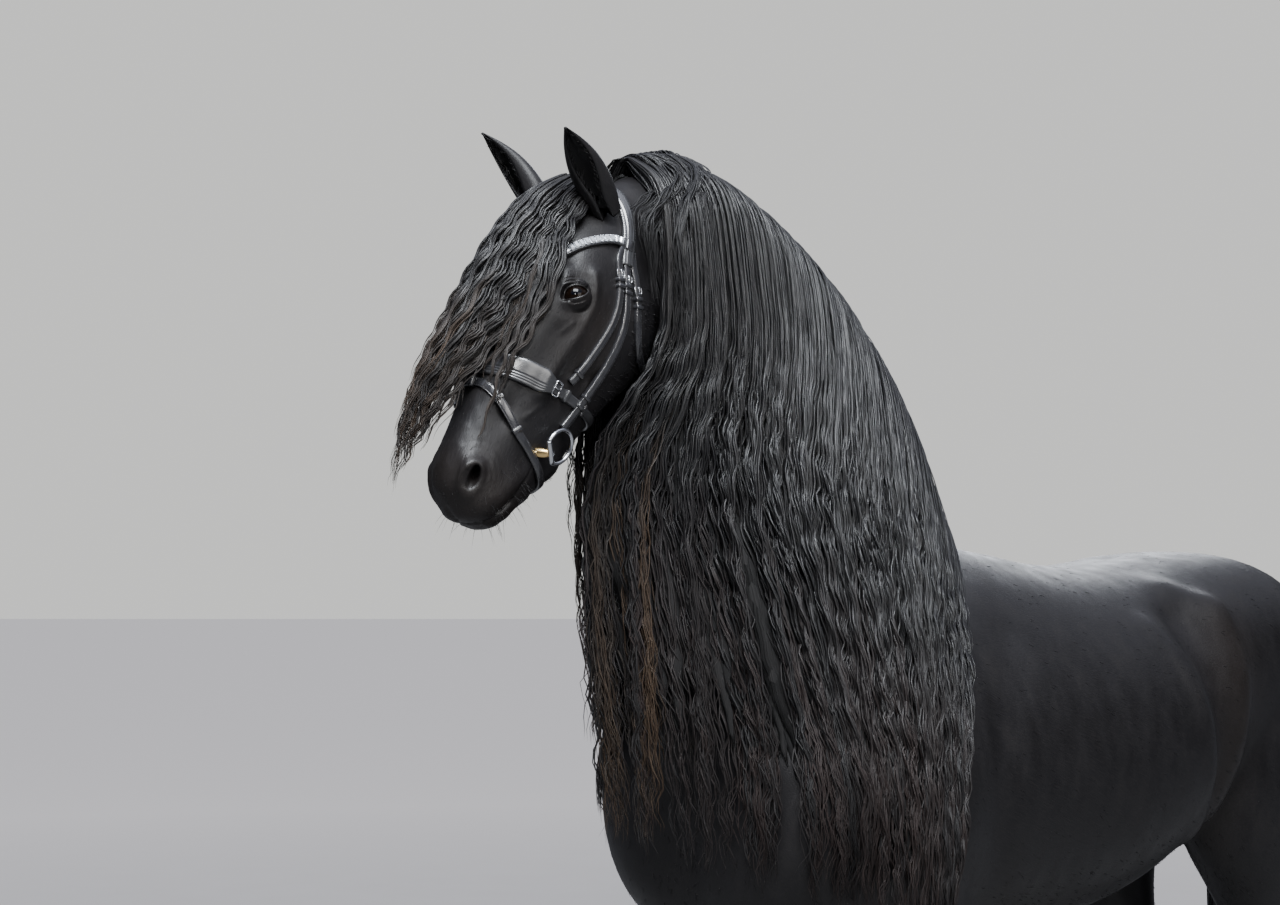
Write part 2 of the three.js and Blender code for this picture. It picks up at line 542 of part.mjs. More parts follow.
// cheekpieces and hangers, each side, and the crown over the poll
for (const [tag, s] of [['left', 1], ['right', -1]]) {
  parts.push(['cheekpiece_' + tag, [[[3.0, s * 99], [3.6, s * 107], [4.3, s * 114, 4], [5.2, s * 120, 5], [6.1, s * 123, 4], [6.5, s * 123], [6.75, s * 122]], 15, 9, { thick: 7 }], LEATHER]);
  parts.push(['noseband_hanger_' + tag, [[[3.0, s * 93], [3.6, s * 102], [4.3, s * 107, 2], [5.2, s * 108, 3], [5.7, s * 107, 2], [5.92, s * 106]], 13, 8, { thick: 6 }], LEATHER]);
  parts.push(['throatlash_' + tag, [[[3.0, s * 108], [3.5, s * 115], [4.0, s * 122], [4.35, s * 132], [4.5, s * 147], [4.45, s * 172]], 15, 7, { thick: 7 }], LEATHER]);
  parts.push(['crown_' + tag, [[[2.98, s * 99], [2.5, s * 92], [2.05, s * 80], [1.65, s * 63], [1.35, s * 42], [1.2, s * 20], [1.15, s * 2]], 30, 7, { thick: 10, deep: 12 }], LEATHER]);
}
parts.push(['browband', [[[2.55, 92], [2.64, 78], [2.94, 63], [3.28, 50], [3.62, 38], [3.84, 20], [3.9, 0], [3.84, -20], [3.62, -38], [3.28, -50], [2.94, -63], [2.64, -78], [2.55, -92]], 16, 14, { thick: 9 }], CRYSTAL]);
// bit rings: loose rings beside the corners of the mouth
const RING = { r: 27, wire: 3.8, u: 7.2, phi: 124, off: 11 };
function ringSolid(side, wire, r = RING.r) {
  const q = headSurface(RING.u, side * RING.phi, RING.off);
  const g = new THREE.TorusGeometry(r, wire, 6, 16);
  const zAxis = q.n.clone(), up = new THREE.Vector3(0, HS, HC);
  up.addScaledVector(zAxis, -up.dot(zAxis)).normalize();
  const m = new THREE.Matrix4().makeBasis(new THREE.Vector3().crossVectors(up, zAxis), up, zAxis);
  g.applyMatrix4(m); g.translate(q.p.x, q.p.y, q.p.z);
  const p = g.attributes.position;
  for (let i = 0; i < p.count; i++) {
    const w = posed(new THREE.Vector3().fromBufferAttribute(p, i));
    p.setXYZ(i, w.x, w.y, w.z);
  }
  return solid(g);
}
const done = [];
for (const [tag, s] of [['left', 1], ['right', -1]]) {
  const m = ringSolid(s, RING.wire).subtract(headPlus);
  done.push(['bit_ring_' + tag, m, STEEL, ringSolid(s, RING.wire + 0.5)]);
}
for (const [name, [path, width, steps, how], look] of parts) {
  let m = strapSolid(path, width, steps, how).subtract(headPlus);
  for (const [, , , big] of done) m = m.subtract(big);
  // each band keeps clear of the ones that are nearer the skin
  done.push([name, mainBody(m), look, strapSolid(path, width, steps, { ...how, grow: GAP })]);
}
for (const [name, m, look] of done) node(name, m, look);

// --- mane: a thick curtain of hair. Each lock family is a named place on the
// crest with the outer path of its hair, root to end, in the straight neck's
// frame [x, f, z]; the curtain is lofted through them.
const MANE_NEAR = [
  /* behind crown */ [[4, 742, 2248], [84, 738, 2194], [112, 738, 2085], [106, 744, 1900], [84, 748, 1650], [74, 736, 1320], [60, 704, 1050]],
  /* upper neck   */ [[4, 560, 2250], [100, 555, 2182], [138, 556, 2015], [172, 560, 1760], [228, 556, 1500], [284, 538, 1210], [262, 510, 965]],
  /* mid neck     */ [[4, 308, 2122], [100, 322, 2048], [162, 356, 1885], [224, 402, 1655], [292, 438, 1400], [332, 450, 1160], [318, 444, 930]],
  /* lower neck   */ [[4, 122, 1928], [108, 150, 1862], [188, 205, 1738], [260, 272, 1555], [316, 332, 1350], [344, 368, 1120], [334, 380, 912]],
  /* withers end  */ [[4, -5, 1690], [96, 20, 1655], [180, 80, 1570], [254, 160, 1450], [314, 246, 1280], [336, 302, 1090], [328, 336, 940]],
];
const MANE_OFF = [
  /* behind crown */ [[-4, 742, 2248], [-68, 740, 2192], [-106, 738, 2080], [-112, 744, 1900], [-112, 752, 1700], [-108, 752, 1480], [-100, 740, 1340]],
  /* upper neck   */ [[-4, 600, 2240], [-86, 592, 2168], [-128, 592, 2015], [-152, 606, 1790], [-176, 632, 1540], [-190, 650, 1330], [-184, 655, 1180]],
  /* mid neck     */ [[-4, 420, 2172], [-94, 418, 2092], [-144, 436, 1930], [-186, 474, 1700], [-234, 512, 1450], [-268, 545, 1240], [-262, 556, 1080]],
];
function maneSolid(table, side, thick) {
  const K = table[0].length;
  const flat = table.map((st) => st.flat());
  return solid(tube(14, 7, (v, phi) => {
    // round the section: outer face root -> end, then inner face back up
    const a = (phi / Math.PI + 2) % 2;              // 0..2
    const outer = a <= 1;
    const w = outer ? a : 2 - a;
    const row = along(flat, v * (table.length - 1));
    const path = [];
    for (let k = 0; k < K; k++) path.push(row.slice(3 * k, 3 * k + 3));
    const q = along(path, w * (K - 1));
    const inset = outer ? 0 : thick * Math.sin(Math.PI * Math.min(1, Math.max(0, w)) ** 0.8) + 3;
    return posed(new THREE.Vector3(q[0] - side * inset, -q[1], q[2] - (outer ? 0 : (w < 0.15 ? 26 : 6))));
  }));
}
const maneOff = maneSolid(MANE_OFF, -1, 60);
let mane = maneSolid(MANE_NEAR, 1, 78).subtract(bodyPlus);
let off = maneOff.subtract(bodyPlus);
for (const [name, , , big] of done) {
  if (/crown|throatlash|cheekpiece/.test(name)) { mane = mane.subtract(big); off = off.subtract(big); }
}
for (const [name, leg] of Object.entries(legs)) {
  if (!leg.fore) continue;
  const l = loftSolid(leg.rows, ...FINE.leg, 1.2);
  mane = mane.subtract(l); off = off.subtract(l);
}
mane = mainBody(mane);
node('mane_near', mane, HAIR);
node('mane_off', off, HAIR);

// --- forelock: over the forehead and down the face, swept to the off side
const FORELOCK = [
  // [s along the head, t outward, x middle, half width, thickness, depth]
  /* root  */ [-2, 66, 0, 46, 20, 50],
  /*       */ [60, 104, -4, 74, 24, 70],
  /*       */ [140, 122, -8, 84, 28, 90],
  /*       */ [230, 128, -16, 84, 30, 90],
  /*       */ [320, 132, -26, 76, 30, 80],
  /*       */ [410, 138, -36, 60, 28, 66],
  /*       */ [510, 134, -44, 40, 22, 40],
  /* tip   */ [612, 124, -46, 10, 6, 8],
];
{
  const g = tube(8, 7, (v, phi) => {
    const [s, t, x, w, d, inner] = along(FORELOCK, v * (FORELOCK.length - 1));
    const c = Math.cos(phi), n = Math.sin(phi);
    return onHead(x + w * n, s, t + (c >= 0 ? d : inner) * c * (1 - 0.25 * n * n) - 0.3 * Math.abs(n) ** 3 * w);
  });
  let m = solid(g).subtract(headPlus);
  for (const [name, , , big] of done) if (/browband|noseband|flash|crown/.test(name)) m = m.subtract(big);
  for (const side of [1, -1]) {
    const c = earSolid(side, -0.8, 0);
    m = m.subtract(c);
  }
  node('forelock', m.subtract(bodyPlus), HAIR);
}

// ------------------------------------------------------------------ assembly
const group = new THREE.Group();
for (const n of nodes) group.add(n);
const outline = new THREE.Box3();
for (const n of nodes) { n.geometry.computeBoundingBox(); outline.union(n.geometry.boundingBox); }
const centre = outline.getCenter(new THREE.Vector3());
group.position.set(-centre.x, -centre.y, -outline.min.z);
group.updateMatrixWorld(true);
export default group;
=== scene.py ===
import math
import bpy
import bmesh
import numpy as np
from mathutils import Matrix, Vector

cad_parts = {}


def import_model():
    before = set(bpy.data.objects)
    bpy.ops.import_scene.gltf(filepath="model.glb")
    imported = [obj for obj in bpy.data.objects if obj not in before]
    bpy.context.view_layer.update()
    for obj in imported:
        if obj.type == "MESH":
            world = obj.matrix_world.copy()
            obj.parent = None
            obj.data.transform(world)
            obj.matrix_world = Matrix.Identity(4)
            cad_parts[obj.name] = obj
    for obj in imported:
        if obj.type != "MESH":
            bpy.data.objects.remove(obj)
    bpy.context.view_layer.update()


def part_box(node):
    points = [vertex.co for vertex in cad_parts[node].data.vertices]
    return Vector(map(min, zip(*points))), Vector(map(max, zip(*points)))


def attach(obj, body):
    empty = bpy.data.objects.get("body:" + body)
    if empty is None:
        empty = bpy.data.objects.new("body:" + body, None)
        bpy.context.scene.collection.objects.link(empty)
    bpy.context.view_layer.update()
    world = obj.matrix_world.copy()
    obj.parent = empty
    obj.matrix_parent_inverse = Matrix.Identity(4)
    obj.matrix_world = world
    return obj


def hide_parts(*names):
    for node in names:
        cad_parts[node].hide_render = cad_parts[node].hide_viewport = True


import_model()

_lo, _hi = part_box("hoof_fore_left")
OFF_Y = (_lo[1] + _hi[1]) / 2 * 1000 + 343.8

# ---------------------------------------------------------------- dimensions
BREAST_F, BUTTOCK_F = 632, -1180
WITHERS_Z, BACK_Z, CROUP_Z, GIRTH_Z = 1620, 1577, 1612, 862
CHEST_HALF, BARREL_HALF = 296, 345
POLL_F, POLL_Z = 792, 2160
HEAD_TILT, NECK_TURN, TURN_AXIS_F = math.radians(28), math.radians(4), 250
EYE_R = 23
EYE_AT = dict(x=88, s=220, t=28)
COAT = 3.0           # depth of the flat coat: the skin lies this far inside
SHIFT = {"fore_left": 10, "fore_right": 78, "hind_left": -72, "hind_right": -28}

TRUNK = np.array([
    [BREAST_F, 1200, BREAST_F, 1135, 40, .5, 1, 1, 0],
    [BREAST_F - 16, 1330, BREAST_F - 30, 985, 200, .5, .85, .8, 0],
    [532, 1420, 522, 912, 278, .5, .88, .72, 0],
    [372, 1505, 350, 876, CHEST_HALF, .48, 1, .72, 0],
    [180, 1572, 180, GIRTH_Z + 2, CHEST_HALF + 2, .45, 1.15, .8, 0],
    [0, WITHERS_Z - 3, 0, GIRTH_Z - 2, 306, .45, 1.25, .85, 0],
    [-150, 1602, -150, GIRTH_Z + 2, 320, .46, 1.2, .9, 0],
    [-300, 1582, -300, 878, 338, .47, 1.1, .95, 0],
    [-455, BACK_Z, -455, 908, BARREL_HALF, .48, 1, .95, 0],
    [-610, 1587, -605, 958, 330, .52, .9, .95, 0],
    [-745, 1604, -735, 1010, 305, .58, .85, .95, 0],
    [-890, CROUP_Z, -880, 1050, 302, .6, .85, .95, 0],
    [-1022, 1598, -1012, 1080, 288, .62, .85, .95, 0],
    [-1120, 1532, -1115, 1115, 238, .6, .88, 1, 0],
    [-1168, 1436, BUTTOCK_F - 2, 1185, 145, .6, 1, 1, 0],
    [-1182, 1340, BUTTOCK_F - 8, 1275, 30, .5, 1, 1, 0]], float)
NECK = np.array([
    [-120, 1590, 500, 1020, 230, .45, 1.5, .9, 0],
    [-40, 1628, 565, 1120, 215, .45, 1.5, .9, 0],
    [55, 1738, 588, 1280, 178, .43, 1.45, .9, 0],
    [142, 1872, 602, 1450, 144, .43, 1.35, .9, 0],
    [262, 2008, 622, 1620, 120, .43, 1.3, .9, 0],
    [415, 2122, 648, 1770, 103, .45, 1.2, .9, 0],
    [580, 2196, 677, 1868, 94, .45, 1.1, .9, 0],
    [722, 2214, 722, 1928, 88, .45, 1, .9, 0],
    [802, 2170, 792, 1950, 70, .5, 1, .9, 0]], float)
HS, HC = math.sin(HEAD_TILT), math.cos(HEAD_TILT)
HEAD_ST = [
    [-30, -20, -10, -90, 30, .5, 1, 1], [-20, 12, 20, -130, 62, .55, .9, 1],
    [40, 52, 60, -165, 80, .6, .8, 1], [120, 88, 120, -190, 97, .66, .75, 1],
    [200, 104, 190, -200, 108, .7, .75, .9], [280, 98, 260, -178, 99, .7, .8, .8],
    [355, 90, 338, -146, 84, .66, .85, .8], [432, 85, 418, -124, 69, .62, .85, .8],
    [490, 84, 472, -112, 60, .6, .85, .8], [541, 82, 524, -84, 61, .58, .85, .85],
    [580, 66, 573, -64, 54, .52, .9, .9], [600, 38, 601, -38, 35, .5, 1, 1],
    [607, 12, 607, -10, 9, .5, 1, 1]]
HEAD = np.array([[POLL_F + s1 * HS + t1 * HC, POLL_Z - s1 * HC + t1 * HS,
                  POLL_F + s2 * HS + t2 * HC, POLL_Z - s2 * HC + t2 * HS, *r, 0]
                 for s1, t1, s2, t2, *r in HEAD_ST], float)
HIND = np.array([
    [-640, 1430, -1110, 1380, 128, .5, .9, .9, 162], [-620, 1240, -1122, 1220, 128, .5, .9, .9, 172],
    [-628, 1040, -1085, 1050, 112, .5, .9, .9, 178], [-745, 900, -1038, 900, 88, .5, .95, .95, 172],
    [-868, 770, -1052, 780, 62, .5, 1, 1, 162], [-978, 665, -1138, 672, 45, .5, 1, 1, 154],
    [-1012, 580, -1160, 585, 51, .5, 1, 1, 150], [-1045, 480, -1140, 480, 39, .5, 1, 1, 148],
    [-1055, 350, -1130, 350, 31, .5, 1, 1, 148], [-1040, 215, -1135, 205, 44, .5, 1, 1, 148],
    [-1008, 150, -1088, 128, 38, .5, 1, 1, 148], [-952, 102, -1072, 84, 57, .5, 1, 1, 148],
    [-948, 60, -1062, 50, 52, .5, 1, 1, 148]], float)
FORE = np.array([
    [440, 1120, 130, 1100, 112, .5, .9, .9, 170], [375, 975, 120, 960, 94, .5, .9, .9, 172],
    [335, 840, 160, 840, 73, .5, 1, 1, 170], [318, 710, 190, 710, 58, .5, 1, 1, 166],
    [311, 585, 208, 585, 47, .5, 1, 1, 162], [318, 505, 205, 502, 56, .5, 1, 1, 160],
    [300, 425, 210, 425, 42, .5, 1, 1, 159], [289, 320, 216, 320, 31, .5, 1, 1, 158],
    [302, 208, 206, 202, 44, .5, 1, 1, 158], [322, 150, 246, 130, 38, .5, 1, 1, 158],
    [372, 102, 252, 84, 57, .5, 1, 1, 158], [376, 60, 262, 50, 52, .5, 1, 1, 158]], float)


def leg_rows(rows, side, shift):
    r = rows.copy()
    r[:, 0] += shift
    r[:, 2] += shift
    r[:, 8] *= side
    return r


LEGS = {"fore_left": (leg_rows(FORE, 1, SHIFT["fore_left"]), 1), "fore_right": (leg_rows(FORE, -1, SHIFT["fore_right"]), -1),
        "hind_left": (leg_rows(HIND, 1, SHIFT["hind_left"]), 1), "hind_right": (leg_rows(HIND, -1, SHIFT["hind_right"]), -1)}


# -------------------------------------------------------------------- helpers
def smooth(t):
    t = np.clip(t, 0, 1)
    return t * t * (3 - 2 * t)


def cr(tab, u):
    """Catmull-Rom through the rows of tab at the parameters u; extra axes of tab are kept."""
    tab = np.asarray(tab, float)
    n = len(tab)
    u = np.clip(np.asarray(u, float), 0, n - 1 - 1e-9)
    i = np.floor(u).astype(int)
    t = (u - i).reshape(u.shape + (1,) * (tab.ndim - 1))
    pad = np.concatenate([[2 * tab[0] - tab[1]], tab, [2 * tab[-1] - tab[-2]], [2 * tab[-1] - tab[-2]]])
    a, b, c, d = pad[i], pad[i + 1], pad[i + 2], pad[i + 3]
    return 0.5 * (2 * b + (c - a) * t + (2 * a - 5 * b + 4 * c - d) * t * t + (3 * b - a - 3 * c + d) * t ** 3)


def loft_at(rows, u, phi, grow=0.0):
    """Points of a body loft at arrays u (station) and phi (0 top, pi bottom, positive left)."""
    r = cr(rows, u)
    ft, zt, fb, zb, w, m, bt, bb, xc = np.moveaxis(r, -1, 0)
    c, s = np.cos(phi), np.sin(phi)
    ln = np.hypot(ft - fb, zt - zb) + 1e-9
    df, dz = (ft - fb) / ln * grow, (zt - zb) / ln * grow
    cf, cz = fb + (ft - fb) * m, zb + (zt - zb) * m
    up = c >= 0
    tf = np.where(up, ft + df, fb - df) - cf
    tz = np.where(up, zt + dz, zb - dz) - cz
    e = np.where(up, bt, bb)
    x = xc + (w + grow) * np.sign(s) * np.abs(s) ** e
    return np.stack([x, -(cf + tf * np.abs(c)), cz + tz * np.abs(c)], -1)


def posed(p):
    """The neck's turn: everything forward and above the shoulders swings about a plumb axis."""
    p = np.asarray(p, float)
    y, z = p[..., 1], p[..., 2]
    th = -NECK_TURN * smooth(((y + 250) * -0.72 + (z - 1350) * 0.69) / 620)
    c, s = np.cos(th), np.sin(th)
    yy = y + TURN_AXIS_F
    return np.stack([p[..., 0] * c - yy * s, p[..., 0] * s + yy * c - TURN_AXIS_F, z], -1)


def unposed_head(p):
    th = NECK_TURN
    c, s = math.cos(th), math.sin(th)
    yy = p[..., 1] + TURN_AXIS_F
    return np.stack([p[..., 0] * c - yy * s, p[..., 0] * s + yy * c - TURN_AXIS_F, p[..., 2]], -1)


def to_st(p):
    """Head coordinates (s down the face, t forwards, x) of points near the head."""
    q = unposed_head(p)
    f, z = -q[..., 1] - POLL_F, q[..., 2] - POLL_Z
    return f * HS - z * HC, f * HC + z * HS, q[..., 0]


def on_head(x, s, t):
    x, s, t = np.broadcast_arrays(np.asarray(x, float), s, t)
    return posed(np.stack([x, -(POLL_F + s * HS + t * HC), POLL_Z - s * HC + t * HS], -1))


def unit(v):
    return v / (np.linalg.norm(v, axis=-1, keepdims=True) + 1e-12)


def world(p):
    q = np.array(p, float)
    q[..., 1] += OFF_Y
    return q / 1000


def mesh_from(name, verts, faces, smooth_shade=True):
    """verts (n,3) in mm, faces a list of arrays (m,k), one array for each k."""
    me = bpy.data.meshes.new(name)
    v = world(verts).astype(np.float32)
    me.vertices.add(len(v))
    me.vertices.foreach_set("co", v.ravel())
    loops = np.concatenate([f.ravel() for f in faces]).astype(np.int32)
    total = np.concatenate([np.full(len(f), f.shape[1]) for f in faces]).astype(np.int32)
    start = np.concatenate([[0], np.cumsum(total)[:-1]]).astype(np.int32)
    me.loops.add(len(loops))
    me.loops.foreach_set("vertex_index", loops)
    me.polygons.add(len(total))
    me.polygons.foreach_set("loop_start", start)
    me.polygons.foreach_set("loop_total", total)
    me.polygons.foreach_set("use_smooth", np.full(len(total), smooth_shade))
    me.update(calc_edges=True)
    me.validate()
    ob = bpy.data.objects.new(name, me)
    bpy.context.scene.collection.objects.link(ob)
    return ob


def grid_faces(nr, ns, close_s=True, base=0):
    i, j = np.meshgrid(np.arange(nr - 1), np.arange(ns if close_s else ns - 1), indexing="ij")
    j2 = (j + 1) % ns
    return np.stack([i * ns + j, i * ns + j2, (i + 1) * ns + j2, (i + 1) * ns + j], -1).reshape(-1, 4) + base


def tube_parts(P, base=0, flip=False):
    """A closed tube from a ring grid (nr, ns, 3): verts and faces, with fan caps."""
    nr, ns = P.shape[:2]
    V = np.concatenate([P.reshape(-1, 3), [P[0].mean(0)], [P[-1].mean(0)]])
    Q = grid_faces(nr, ns)
    j = np.arange(ns)
    a, b = nr * ns, nr * ns + 1
    T = np.concatenate([np.stack([np.full(ns, a), (j + 1) % ns, j], -1),
                        np.stack([np.full(ns, b), (nr - 1) * ns + j, (nr - 1) * ns + (j + 1) % ns], -1)])
    if flip:
        Q, T = Q[:, ::-1], T[:, ::-1]
    return V, Q + base, T + base


def outward(V, Q, T):
    """True if the faces point out."""
    vol = 0.0
    for F in (Q, T):
        if len(F) == 0:
            continue
        for k in range(1, F.shape[1] - 1):
            a, b, c = V[F[:, 0]], V[F[:, k]], V[F[:, k + 1]]
            vol += np.einsum("ij,ij->", a, np.cross(b, c))
    return vol > 0


def merge(parts):
    """Joins (V, Q, T) parts, each turned outwards."""
    Vs, Qs, Ts, base = [], [], [], 0
    for V, Q, T in parts:
        if not outward(V, Q, T):
            Q, T = Q[:, ::-1], T[:, ::-1]
        Vs.append(V)
        if len(Q):
            Qs.append(Q + base)
        if len(T):
            Ts.append(T + base)
        base += len(V)
    return np.concatenate(Vs), ([np.concatenate(Qs)] if Qs else []) + ([np.concatenate(Ts)] if Ts else [])


def solid_obj(name, parts, smooth_shade=True):
    V, F = merge(parts)
    return mesh_from(name, V, F, smooth_shade)


def finish_piece(ob, mat, nodes=()):
    ob.data.materials.clear()
    ob.data.materials.append(mat)
    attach(ob, "root")
    if nodes:
        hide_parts(*nodes)
    return ob


def gauss(d2):
    return np.exp(-d2)


def bump_at(S, T, X, c, r, amp):
    return amp * gauss(((S - c[0]) / r[0]) ** 2 + ((T - c[1]) / r[1]) ** 2 + ((X - c[2]) / r[2]) ** 2)


def ridge(P, pts, r, amp):
    """A soft ridge of radius r along a polyline: height at the points P."""
    d = np.full(len(P), 1e9)
    for a, b in zip(pts[:-1], pts[1:]):
        a, b = np.asarray(a, float), np.asarray(b, float)
        ab = b - a
        t = np.clip(((P - a) @ ab) / (ab @ ab), 0, 1)
        d = np.minimum(d, np.linalg.norm(P - (a + t[:, None] * ab), axis=1))
    return amp * gauss((d / r) ** 2)


# --------------------------------------------------------------------- skin
MOUTH = [(604, -4, 0), (600, -12, 20), (578, -30, 40), (545, -44, 50), (500, -52, 53), (466, -50, 57)]


def build_skin():
    parts = []
    def add(rows, nr, ns, pose):
        u = np.linspace(0, len(rows) - 1, nr)
        phi = np.linspace(0, 2 * np.pi, ns, endpoint=False)
        P = loft_at(rows, u[:, None] + 0 * phi, phi[None] + 0 * u[:, None], -COAT)
        parts.append(tube_parts(posed(P) if pose else P))
    add(TRUNK, 110, 96, False)
    add(NECK, 80, 72, True)
    add(HEAD, 120, 96, True)
    for rows, side in LEGS.values():
        add(rows, 110, 40, False)
    raw = solid_obj("raw_skin", parts)
    mod = raw.modifiers.new("remesh", "REMESH")
    mod.mode = "VOXEL"
    mod.voxel_size = 0.0150
    mod.adaptivity = 0.0
    deps = bpy.context.evaluated_depsgraph_get()
    me = bpy.data.meshes.new_from_object(raw.evaluated_get(deps))
    bpy.data.objects.remove(raw)

    # finer faces on the head, a little finer on the lower legs
    bm = bmesh.new()
    bm.from_mesh(me)
    def refine(test, cuts=1):
        bm.verts.ensure_lookup_table()
        co = np.array([v.co[:] for v in bm.verts]) * 1000
        co[:, 1] -= OFF_Y
        keep = test(co)
        ed = [e for e in bm.edges if keep[e.verts[0].index] and keep[e.verts[1].index]]
        bmesh.ops.subdivide_edges(bm, edges=ed, cuts=cuts, use_grid_fill=True)
        bm.verts.index_update()
    def head_zone(co):
        S, T, X = to_st(co)
        return (S > -20) & (T > -230) & (co[:, 2] > 1500) & (co[:, 1] < -690)
    def fine_zone(co):
        S, T, X = to_st(co)
        z = (S > 120) & (co[:, 2] > 1500) & (co[:, 1] < -690)
        front = ((S > 380) | (((S - EYE_AT["s"]) ** 2 + (T - EYE_AT["t"] - 8) ** 2) < 75 ** 2))
        return z & front
    def near_eye(r):
        def test(co):
            return np.minimum(np.linalg.norm(co - EYE_C[1], axis=1), np.linalg.norm(co - EYE_C[-1], axis=1)) < r
        return test
    def muzzle_zone(co):
        S, T, X = to_st(co)
        H = np.stack([S, T, np.abs(X)], 1)
        z = (co[:, 2] > 1500) & (co[:, 1] < -690)
        hole = np.linalg.norm((H - np.array([556, 46, 52.0])) / np.array([1.25, 1.0, 1.0]), axis=1) < 31
        lips = ridge(H, MOUTH, 13, 1.0) > 0.37
        return z & (hole | lips)
    refine(head_zone)
    refine(fine_zone)
    refine(near_eye(50))
    refine(near_eye(38))
    refine(muzzle_zone)
    refine(lambda co: (co[:, 2] < 600))
    bm.to_mesh(me)
    bm.free()
    me.update()

    n = len(me.vertices)
    V = np.empty(n * 3, np.float32)
    me.vertices.foreach_get("co", V)
    V = V.reshape(-1, 3).astype(float) * 1000
    V[:, 1] -= OFF_Y
    E = np.empty(len(me.edges) * 2, np.int32)
    me.edges.foreach_get("vertices", E)
    E = E.reshape(-1, 2)
    deg = np.bincount(E.ravel(), minlength=n).astype(float)

    def relax(V, lam):
        acc = np.stack([np.bincount(E[:, 0], V[E[:, 1], k], n) + np.bincount(E[:, 1], V[E[:, 0], k], n) for k in range(3)], 1)
        return V + lam * (acc / deg[:, None] - V)
    for _ in range(7):
        V = relax(relax(V, 0.6), -0.61)
    for _ in range(2):
        V = relax(V, 0.5)

    def put(V):
        W = world(V).astype(np.float32)
        me.vertices.foreach_set("co", W.ravel())
        me.update()
        N = np.empty(n * 3, np.float32)
        me.vertex_normals.foreach_get("vector", N)
        return N.reshape(-1, 3).astype(float)
    N = put(V)

    # body relief
    x, f, z = np.abs(V[:, 0]), -V[:, 1], V[:, 2]
    B = np.stack([x, f, z], 1)
    body = smooth((720 - f) / 60)
    d = np.zeros(n)
    side = smooth((x - 60) / 80)
    d += side * ridge(B, [(190, 60, 1560), (285, 330, 1330), (290, 500, 1180)], 46, 7)       # spine of the shoulder blade
    d -= side * ridge(B, [(250, 30, 1450), (300, 150, 1200), (300, 120, 1000)], 55, 9)       # behind the shoulder
    d += side * ridge(B, [(270, 220, 1200), (240, 260, 1060), (180, 300, 960)], 70, 8)       # upper arm
    d -= ridge(B, [(0, 640, 1240), (0, 610, 1060), (0, 520, 940)], 38, 10)                   # between the breast muscles
    d += ridge(B, [(95, 640, 1180), (120, 600, 1040)], 80, 8)
    for k in range(8):                                                                      # ribs, soft
        f0 = -150 - 62 * k
        d += smooth((k + 1) / 3) * side * ridge(B, [(300, f0 + 20, 1400), (345, f0 - 20, 1180), (290, f0 - 30, 1000)], 20, 0.6)
    d += side * ridge(B, [(202, -565, 1532), (242, -602, 1508), (260, -640, 1482)], 40, 15)  # point of the hip
    d -= side * ridge(B, [(266, -518, 1475), (312, -536, 1370), (322, -560, 1250), (300, -576, 1160)], 46, 22)  # flank hollow
    d += side * ridge(B, [(264, -412, 1465), (318, -444, 1370), (335, -476, 1260), (314, -518, 1160), (250, -552, 1050)], 26, 12)  # last rib and flank fold
    d += side * ridge(B, [(256, -646, 1486), (306, -648, 1350), (298, -640, 1200), (246, -634, 1095)], 42, 14)
    for a, b, c in ((-424, 1448, 40), (-452, 1424, 46), (-480, 1394, 40)):                   # small wrinkles over the flank
        d += side * ridge(B, [(278, a, b), (300, a - 14, b - c)], 10, 2.4)  # front of the thigh
    d -= side * ridge(B, [(255, -1010, 1500), (292, -1030, 1300), (262, -1050, 1100), (200, -1040, 950)], 36, 7)  # behind the thigh
    d += side * ridge(B, [(190, -1120, 1440), (200, -1165, 1300), (190, -1120, 1100)], 55, 7)
    d += side * ridge(B, [(230, -860, 860), (208, -960, 740)], 40, 6)                        # gaskin
    d -= ridge(B, [(0, -900, 1612), (0, -1060, 1590)], 26, 8)                                # groove of the croup
    d -= ridge(B, [(0, -250, 1590), (0, -700, 1600)], 24, 3)
    d += ridge(B, [(55, -200, 1600), (70, -700, 1598)], 40, 3)
    d -= ridge(B, [(70, 300, 1905), (100, 130, 1760), (140, 0, 1600)], 40, 0)
    neckz = smooth((z - 1250) / 150) * smooth((f - 120) / 100)
    d -= neckz * ridge(B, [(92, 690, 1990), (128, 590, 1700), (170, 560, 1440), (200, 540, 1300)], 26, 7)      # jugular groove
    d += neckz * ridge(B, [(96, 640, 2070), (135, 500, 1800), (185, 440, 1500)], 55, 6)
